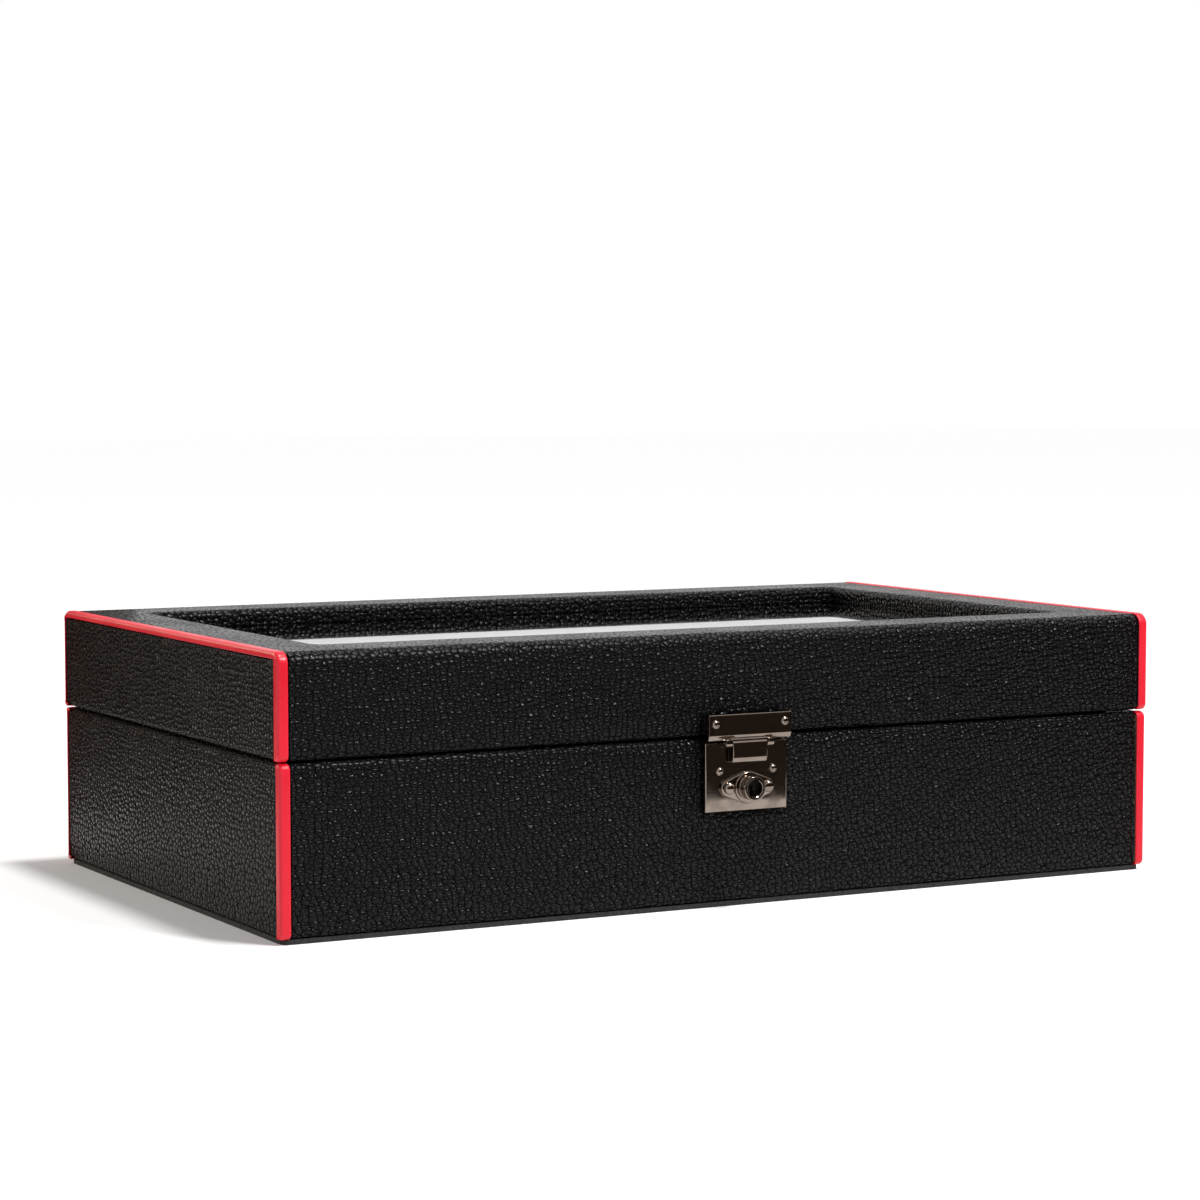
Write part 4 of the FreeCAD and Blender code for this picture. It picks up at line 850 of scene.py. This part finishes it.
class WATCHBOX_OT_piping(bpy.types.Operator):
    """Red leather strips on the corners, folded over the rims"""
    bl_idname = "watchbox.piping"
    bl_label = "Piping"

    def execute(self, context):
        radius = settings().piping_edge
        for side, way in (("left", -1), ("right", 1)):
            low, high = extent("body_piping_" + side)
            strips = []
            for front in (-1, 1):
                face = low[1] if front < 0 else high[1]
                back = face - front * STRIP
                line, normals = rounded_line([(back, high[2], 0), (face, high[2], RIM_ROUND),
                                              (face, low[2], FOOT_ROUND), (back, low[2], 0)],
                                             (back, (low[2] + high[2]) / 2))
                line, normals = spread(line, normals, 6.0)
                panel = back if front < 0 else face - REAR_STRIP
                box = np.array([(back, low[2] + radius), (panel, high[2] - radius)])
                strips.append((line, normals, box))
            self.strips("body_piping_" + side, "body", way, strips)
            low, high = extent("lid_piping_" + side)
            back = high[1] - STRIP
            line, normals = rounded_line([(-back, low[2], 0), (-high[1], low[2], RIM_ROUND),
                                          (-high[1], high[2], TOP_ROUND), (high[1], high[2], TOP_ROUND),
                                          (high[1], low[2], RIM_ROUND), (back, low[2], 0)],
                                         (0.0, (low[2] + high[2]) / 2 - 2), 12)
            line, normals = spread(line, normals, 6.0)
            box = np.array([(-back, low[2] + radius), (high[1] - REAR_STRIP, high[2] - LID_STRIP)])
            self.strips("lid_piping_" + side, "lid", way, [(line, normals, box)])
        return {"FINISHED"}

    @staticmethod
    def strips(node, body, way, lines):
        """The strips of one node, each along its own line."""
        low, high = extent(node)
        outer = low[0] if way < 0 else high[0]
        made = [strip_grid(line, normals, outer, outer - way * STRIP, box) for line, normals, box in lines]
        grids, worn, sheets = zip(*made)
        cover_node(node, body, [(grid, grid_faces(*grid.shape[:2])) for grid in grids], (way, 0, 0),
                   worn, sheets, "_strip", "piping")


# Lining, glass and hidden structure

class WATCHBOX_OT_inside(bpy.types.Operator):
    """Suede lining, dividers, floor pad and the frame that holds the glass, edges softened"""
    bl_idname = "watchbox.inside"
    bl_label = "Lining and Dividers"

    def execute(self, context):
        edge = settings().card_edge
        for node, body, width in (("body_lining", "body", edge), ("floor_pad", "body", 0.5),
                                  ("divider_long", "body", edge), ("cross_dividers", "body", edge),
                                  ("glass_frame", "lid", 0.5)):
            copy_node(node, node + "_suede", body, "suede", width)
        copy_node("glass_pane", "window_glass", "lid", "glass", 0.3)
        copy_node("base_sheet", "base_card_sheet", "body", "card", 0.3)
        boards = ["body_floor_board"] + [f"body_{side}_board" for side in ("front", "rear", "left", "right")]
        rails = [f"lid_{side}_rail" for side in ("front", "rear", "left", "right")]
        for finish, nodes in (("board", boards), ("suede", rails)):
            for node in nodes:
                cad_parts[node].data.materials.clear()
                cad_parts[node].data.materials.append(FINISHES[finish])
        return {"FINISHED"}


# Angles of a pillow's rings from end to end, three of them at each seam, and points in a ring
SEAMS = np.array([0.80, 0.85, 0.90])
ROUND = np.unique(np.concatenate([np.linspace(0.0, math.pi, 33), SEAMS, math.pi - SEAMS]))
SEAM_ROW = int(np.abs(ROUND - SEAMS[1]).argmin())
GIRTH = 64


class WATCHBOX_OT_pillows(bpy.types.Operator):
    """Twelve soft watch pillows covered in suede"""
    bl_idname = "watchbox.pillows"
    bl_label = "Pillows"

    def execute(self, context):
        first = extent("pillow_1")
        half = (first[1] - first[0]) / 2
        shape, faces = self.cushion(half)
        shape = self.inflate(context, shape, faces, half)
        shape = self.sew(shape)
        for number in range(1, 13):
            node = f"pillow_{number}"
            low, high = extent(node)
            piece = make_piece(node + "_cushion", [(shape + (low + high) / 2, faces)], node, "pillow",
                               (node,), crease=180.0, subdivide=1)
        return {"FINISHED"}

    @staticmethod
    def cushion(half):
        """A sleeve with sewn ends: rings along X whose girth swells as a power of a sine.

        A ring's point is (cos, sin) of an angle, each raised to a power below one, which
        squares the ring off, and the foot is pressed flatter than the crown. Towards an end
        the sides draw in more than the corners.
        """
        u = ROUND[:, None]
        v = np.linspace(-math.pi, math.pi, GIRTH, endpoint=False)[None, :]

        def power(value, exponent):
            return np.sign(value) * np.abs(value) ** exponent
        girth = 0.92 * power(np.sin(u), 0.3)
        pull = 1.0 - 0.05 * (1.0 - np.abs(np.sin(2 * v))) * np.abs(np.cos(u)) ** 2
        x = 0.93 * half[0] * power(np.cos(u), 0.55) * np.ones_like(v)
        y = half[1] * girth * pull * power(np.cos(v), 0.7)
        z = half[2] * girth * pull * power(np.sin(v), 0.78)
        shape = np.stack([x, y, np.maximum(z, -0.9 * half[2])], axis=-1).reshape(-1, 3)
        return shape, grid_faces(len(u), GIRTH, wrap_columns=True)

    @staticmethod
    def inflate(context, shape, faces, half):
        """Blow the cover up as cloth, then hold each point inside the pillow's own box."""
        mesh = new_mesh("pillow_cover", shape * MM, faces.tolist())
        with editing(mesh) as work:
            bmesh.ops.remove_doubles(work, verts=work.verts, dist=2e-6)
            bmesh.ops.recalc_face_normals(work, faces=work.faces)
        cover = placed("pillow_cover", mesh)
        cloth = cover.modifiers.new("Cloth", "CLOTH").settings
        cloth.quality = 6
        cloth.mass = 0.2
        cloth.tension_stiffness = cloth.compression_stiffness = 12.0
        cloth.bending_stiffness = 0.6
        cloth.use_pressure = True
        cloth.uniform_pressure_force = 4.0
        cloth.effector_weights.gravity = 0.0
        start = context.scene.frame_current
        for step in range(1, 15):
            context.scene.frame_set(step)
        blown = cover.evaluated_get(context.evaluated_depsgraph_get()).to_mesh()
        moved, rest = positions(blown) / MM, positions(mesh) / MM
        context.scene.frame_set(start)
        bpy.data.objects.remove(cover)
        tree = kdtree.KDTree(len(rest))
        for index, point in enumerate(rest):
            tree.insert(point, index)
        tree.balance()
        nearest = np.array([tree.find(point)[1] for point in shape])
        step = (moved - rest)[nearest]
        length = np.linalg.norm(step, axis=1, keepdims=True)
        farthest, limit = 4.0, 0.985 * half
        step *= np.minimum(1.0, farthest / np.maximum(length, 1e-6))
        return np.clip(shape + step, -np.array([limit[0], limit[1], half[2]]), limit)

    @staticmethod
    def sew(shape):
        """Draw the ring at each seam in towards the pillow's own axis by 0.9 mm."""
        rings = shape.reshape(-1, GIRTH, 3).copy()
        seam = [SEAM_ROW, len(rings) - 1 - SEAM_ROW]
        out = rings[seam][..., 1:]
        rings[seam, :, 1:] -= 0.9 * out / np.linalg.norm(out, axis=-1, keepdims=True)
        return rings.reshape(-1, 3)


# Lock, hasp and hinges

# A rivet's rise over its plate and its radius, and each pair's height and half distance
DOME, DOME_RADIUS = 0.8, 1.4
LOCK_RIVETS, HASP_RIVETS = (45.1, 10.05), (60.9, 13.1)
# The slider's middle and lobes as radii, how far out the lobes are, and its flange's thickness
MIDDLE, LOBE, SPACING, FLANGE = 5.4, 2.7, 7.3, 1.2


def rivet_pair(name, body, face, height, half):
    """Two domes, half a distance left and right of the middle: each is a cap of a sphere run
    round its axis, on a small foot sunk into the plate."""
    angle = np.linspace(0, math.pi / 2, 9)
    dome = np.stack([face - 0.1 - 0.76 * np.sin(angle), DOME_RADIUS * np.cos(angle)], axis=1)
    foot = DOME_RADIUS + 0.02
    profile = np.concatenate([[[face + 0.3, 0.0], [face + 0.3, foot], [face - 0.04, foot]], dome])
    make_piece(name, [turned(profile, side * half, height, 48) for side in (-1, 1)], body, "metal")


class WATCHBOX_OT_lock(bpy.types.Operator):
    """Slide lock: plate with domed rivets, lozenge slider with studs, and its barrel"""
    bl_idname = "watchbox.lock"
    bl_label = "Slide Lock"

    def execute(self, context):
        axis = extent("key_plug").mean(axis=0)[2]
        copy_node("lock_plate", "lock_plate_tray", "body", "metal", settings().metal_edge)
        copy_node("lock_case", "lock_case_box", "body", "metal", 0.1)
        copy_node("bolt_spring", "bolt_spring_strip", "body", "steel", 0.05)
        copy_node("latch_bolt", "latch_bolt_plate", "lock_slider", "metal", 0.1)
        # The plug's near-black steel is painted shade inside the bore
        copy_node("key_plug", "key_plug_core", "key_plug", "plug", 0.12)
        rivet_pair("lock_rivets", "body", extent("lock_plate")[0][1] + DOME, *LOCK_RIVETS)
        self.slider(axis)
        self.studs(axis)
        self.barrel(axis)
        return {"FINISHED"}

    @staticmethod
    def lozenge(axis):
        """Round middle and two lobes: each arc is centre + radius * (cos, sin), straight between."""
        lean = math.acos((MIDDLE - LOBE) / SPACING)
        points, normals = [], []
        for start, stop, centre, radius in ((-lean, lean, SPACING, LOBE),
                                            (lean, math.pi - lean, 0.0, MIDDLE),
                                            (math.pi - lean, math.pi + lean, -SPACING, LOBE),
                                            (math.pi + lean, 2 * math.pi - lean, 0.0, MIDDLE)):
            angle = np.linspace(start, stop, 25)
            normal = np.stack([np.cos(angle), np.sin(angle)], axis=1)
            points.append(normal * radius + np.array([centre, axis]))
            normals.append(normal)
        return np.concatenate(points), np.concatenate(normals)

    def slider(self, axis):
        """Flange with a bevelled edge, and the round boss that the barrel stands in."""
        low, high = extent("slider_flange")
        outline, normals = self.lozenge(axis)
        turn = np.linspace(0, math.pi / 2, 6)
        shoulder, bevel = high[1] - 0.75, 0.45
        levels = [(0.0, high[1]), (0.0, shoulder)]
        levels += list(zip(bevel * (1 - np.cos(turn)), shoulder - bevel * np.sin(turn)))
        count = len(outline)
        faces = grid_faces(len(levels), count, wrap_columns=True).tolist()
        faces += [list(range(count)), list(range((len(levels) - 1) * count, len(levels) * count))]
        sunk, front = high[1] - FLANGE + 0.3, low[1]
        boss, edge, mouth = 5.2, 0.35, 3.9
        profile = [(sunk, 0.0), (sunk, boss), (front + edge, boss)]
        profile += list(zip(front + edge * (1 - np.sin(turn)), boss - edge * (1 - np.cos(turn))))
        profile += [(front, mouth), (front + 0.2, mouth), (front + 0.2, 0.0)]
        shells = [(relief(outline, normals, levels), faces), turned(profile, 0.0, axis, 96)]
        make_piece("slider_lozenge", shells, "lock_slider", "metal", ("slider_flange",))

    @staticmethod
    def studs(axis):
        """Domed finger studs: a neck that widens to a head, whose radius falls as a power of a cosine."""
        top, foot = extent("slider_studs")[0][1], extent("slider_flange")[1][1] - FLANGE
        head, neck = 1.95, 1.5
        angle = np.linspace(0, math.pi / 2, 10)
        profile = [(foot + 0.3, 0.0), (foot + 0.3, neck), (foot - 0.02, neck), (top + 1.25, head - 0.17)]
        profile += list(zip(top + 1.05 * (1 - np.sin(angle)), head * np.cos(angle) ** 0.8))
        shells = [turned(profile, side * SPACING, axis, 56) for side in (-1, 1)]
        make_piece("slider_stud_pair", shells, "lock_slider", "metal", ("slider_studs",))

    @staticmethod
    def barrel(axis):
        """A wall section with rounded rings and a groove at its mouth, run round the key's axis."""
        low, high = extent("key_barrel")
        mouth, tail = low[1], high[1]
        wall, waist, neck, bore, tip = 4.0, 3.86, 3.2, 2.75, 2.03
        turn = np.linspace(0, math.pi / 2, 6)
        section = [(tail, neck), (mouth + 5.9, neck), (mouth + 5.9, wall), (mouth + 3.6, wall),
                   (mouth + 3.4, waist), (mouth + 3.15, waist), (mouth + 2.95, wall)]
        section += list(zip(mouth + 0.22 * (1 - np.sin(turn)), wall - 0.22 * (1 - np.cos(turn))))
        section += [(mouth, 3.62), (mouth + 0.12, 3.53), (mouth + 0.5, 3.35), (mouth + 0.12, 3.17),
                    (mouth, 3.08), (mouth, 2.9), (mouth + 0.15, bore + 0.02), (mouth + 0.4, bore),
                    (mouth + 6.1, bore), (mouth + 6.1, tip), (tail, tip)]
        make_piece("key_barrel_turned", [turned(section, 0.0, axis, 112, closed=True)],
                   "lock_slider", "metal", ("key_barrel",), crease=34.0)


class WATCHBOX_OT_hasp(bpy.types.Operator):
    """Hasp plate with its rivets, the hinged hasp and its pin"""
    bl_idname = "watchbox.hasp"
    bl_label = "Hasp"

    def execute(self, context):
        edge = settings().metal_edge
        copy_node("hasp_plate", "hasp_plate_shell", "lid", "metal", edge, 20.0, self.lean)
        copy_node("hasp", "hasp_tongue", "hasp", "metal", edge, 20.0, self.lean)
        copy_node("hasp_pin", "hasp_pin_rod", "lid", "metal", 0.1)
        rivet_pair("hasp_rivets", "lid", extent("hasp_plate")[0][1] + DOME, *HASP_RIVETS)
        return {"FINISHED"}

    @staticmethod
    def lean(points):
        """Make the bevels under hasp and plate taller and shallower: up by 0.35, forward by 0.6."""
        near, face, bevel, plate_foot = 0.02, extent("hasp")[0][1], 1.2, 55.5
        for foot in (extent("hasp")[0][2], plate_foot):
            upper = (np.abs(points[:, 1] - face) < near) & (np.abs(points[:, 2] - foot - bevel) < near)
            lower = (np.abs(points[:, 1] - face - bevel) < near) & (np.abs(points[:, 2] - foot) < near)
            points[upper, 2] += 0.35
            points[lower, 1] -= 0.6
        return points


class WATCHBOX_OT_hinges(bpy.types.Operator):
    """Rear hinge leaves and pins"""
    bl_idname = "watchbox.hinges"
    bl_label = "Hinges"

    def execute(self, context):
        for side in ("left", "right"):
            for part, body, width in (("lower_leaf", "body", 0.2), ("upper_leaf", "lid", 0.2),
                                      ("pin", "body", 0.15)):
                node = f"hinge_{side}_{part}"
                copy_node(node, node + "_metal", body, "metal", width)
        return {"FINISHED"}


# Stage

# The camera's place in metres, and its turn and rise in degrees
CAMERA_PLACE, CAMERA_TURN, CAMERA_RISE = (-0.55787, -1.03308, 0.17932), -28.33, 4.126
FLAG_HEIGHT = 0.15


class WATCHBOX_OT_stage(bpy.types.Operator):
    """White floor and surroundings, soft lamps and the camera"""
    bl_idname = "watchbox.stage"
    bl_label = "Stage"

    def execute(self, context):
        stage = context.scene.watch_box_stage
        self.floor(stage)
        self.surroundings(stage)
        self.key(stage)
        self.softbox("Front", (0.45, -0.95, 1.15), (0.0, -0.1, 0.05), 0.32, stage.front, (0.97, 0.97, 1.0))
        self.softbox("Back", (-1.0, 1.3, 0.45), (-0.1, 0.0, 0.06), 0.45, stage.back, (1.0, 0.8, 0.62))
        self.flag("Front Flag", 0.02, stage.flag, -120.0, 20.0)
        self.flag("Rear Flag", 0.0, stage.flag - 0.06, 104.0, 175.0)
        self.camera(stage)
        context.scene.view_settings.view_transform = "Standard"
        return {"FINISHED"}

    @staticmethod
    def floor(stage):
        """Square grid of points on the ground, pale, and a little lighter to the camera."""
        side = np.linspace(-6.0, 6.0, 9)
        x, y = np.meshgrid(side, side, indexing="ij")
        points = np.stack([x, y, np.zeros_like(x)], axis=-1).reshape(-1, 3)
        mesh = new_mesh("floor", points, grid_faces(9, 9)[:, ::-1].tolist())
        finish = Finish("Floor White")
        finish.fix(Base_Color=(*stage.floor, 1.0), Roughness=1.0, Specular_IOR_Level=0.0,
                   Emission_Color=(1.0, 1.0, 1.0, 1.0))
        finish.feed("Emission Strength", finish.math("MULTIPLY", finish.seen(), stage.glow))
        mesh.materials.append(finish.material)
        placed("floor", mesh)

    @staticmethod
    def surroundings(stage):
        """White all round where it is seen, dimmer as a light on dull surfaces."""
        world = bpy.data.worlds.new("Surroundings")
        bpy.context.scene.world = world
        world.use_nodes = True
        nodes = Nodes(world.node_tree)
        background = world.node_tree.nodes["Background"]
        background.inputs["Color"].default_value = (1.0, 1.0, 1.0, 1.0)
        level = nodes.math("ADD", nodes.math("MULTIPLY", nodes.seen(), 1.0 - stage.sky), stage.sky)
        nodes.join(level, background.inputs["Strength"])

    @staticmethod
    def key(stage):
        """Distant light from above and a little to the right, with soft-edged shadows."""
        light = bpy.data.lights.new("Key", "SUN")
        light.energy = stage.key
        light.angle = math.radians(9)
        key = placed("Key", light)
        key.rotation_euler = Vector((0.22, -0.14, 1.0)).to_track_quat("Z", "Y").to_euler()

    @staticmethod
    def softbox(name, place, aim, size, power, colour):
        """Round soft lamp that faces the box."""
        light = bpy.data.lights.new(name, "AREA")
        light.shape = "DISK"
        light.size = size
        light.energy = power
        light.color = colour
        lamp = placed(name, light)
        lamp.location = place
        lamp.rotation_euler = (Vector(aim) - Vector(place)).to_track_quat("-Z", "Y").to_euler()

    @staticmethod
    def flag(name, centre, reach, first, last):
        """Dark upright card, an arc of points round (centre, 0) swept up in Z, seen in reflections."""
        turn = np.radians(np.linspace(first, last, 25))[:, None]
        rise = np.linspace(0.0, FLAG_HEIGHT, 5)[None, :]
        points = np.stack([centre + reach * np.cos(turn) + 0 * rise, reach * np.sin(turn) + 0 * rise,
                           rise + 0 * turn], axis=-1).reshape(-1, 3)
        mesh = new_mesh(name, points, grid_faces(25, 5).tolist())
        finish = Finish(name)
        finish.fix(Base_Color=(0.06, 0.047, 0.038, 1.0), Roughness=1.0, Specular_IOR_Level=0.0)
        mesh.materials.append(finish.material)
        card = placed(name, mesh)
        card.visible_camera = card.visible_diffuse = False
        card.visible_transmission = card.visible_shadow = False

    @staticmethod
    def camera(stage):
        """Camera whose back points along (sin turn cos rise, -cos turn cos rise, sin rise)."""
        data = bpy.data.cameras.new("Camera")
        data.lens = stage.lens
        data.sensor_width = 36.0
        data.clip_end = 50.0
        camera = placed("Camera", data)
        turn, rise = math.radians(CAMERA_TURN), math.radians(CAMERA_RISE)
        back = Vector((math.sin(turn) * math.cos(rise), -math.cos(turn) * math.cos(rise), math.sin(rise)))
        camera.location = CAMERA_PLACE
        camera.rotation_euler = (-back).to_track_quat("-Z", "Y").to_euler()
        bpy.context.scene.camera = camera


class WATCHBOX_OT_finishes(bpy.types.Operator):
    """Leather, suede, metal, board and glass finishes"""
    bl_idname = "watchbox.finishes"
    bl_label = "Finishes"

    def execute(self, context):
        FINISHES.update(make_finishes())
        return {"FINISHED"}


class WATCHBOX_PT_panel(bpy.types.Panel):
    """Sizes, colours and the steps that build the box"""
    bl_idname = "WATCHBOX_PT_panel"
    bl_label = "Watch Box"
    bl_space_type = "VIEW_3D"
    bl_region_type = "UI"
    bl_category = "Watch Box"

    def draw(self, context):
        for label, group in (("Sizes", context.scene.watch_box_sizes),
                             ("Colours", context.scene.watch_box_colours),
                             ("Stage", context.scene.watch_box_stage)):
            box = self.layout.box()
            box.label(text=label)
            for key in group.bl_rna.properties.keys():
                if key not in ("rna_type", "name"):
                    box.prop(group, key)
        for operator in STEPS:
            self.layout.operator(operator.bl_idname)


STEPS = (WATCHBOX_OT_finishes, WATCHBOX_OT_body_covers, WATCHBOX_OT_lid_covers, WATCHBOX_OT_piping,
         WATCHBOX_OT_inside, WATCHBOX_OT_pillows, WATCHBOX_OT_lock, WATCHBOX_OT_hasp,
         WATCHBOX_OT_hinges, WATCHBOX_OT_stage)
CLASSES = (WatchBoxSizes, WatchBoxColours, WatchBoxStage, *STEPS, WATCHBOX_PT_panel)


def register():
    """Make the classes and the scene's settings known."""
    for part in CLASSES:
        bpy.utils.register_class(part)
    bpy.types.Scene.watch_box_sizes = PointerProperty(type=WatchBoxSizes)
    bpy.types.Scene.watch_box_colours = PointerProperty(type=WatchBoxColours)
    bpy.types.Scene.watch_box_stage = PointerProperty(type=WatchBoxStage)


def unregister():
    """Take them out again, in reverse order."""
    del bpy.types.Scene.watch_box_stage
    del bpy.types.Scene.watch_box_colours
    del bpy.types.Scene.watch_box_sizes
    for part in reversed(CLASSES):
        bpy.utils.unregister_class(part)


def main():
    """Build the box step by step."""
    register()
    bpy.ops.watchbox.finishes()
    bpy.ops.watchbox.body_covers()
    bpy.ops.watchbox.lid_covers()
    bpy.ops.watchbox.piping()
    bpy.ops.watchbox.inside()
    bpy.ops.watchbox.pillows()
    bpy.ops.watchbox.lock()
    bpy.ops.watchbox.hasp()
    bpy.ops.watchbox.hinges()
    bpy.ops.watchbox.stage()


if __name__ == "__main__":
    main()
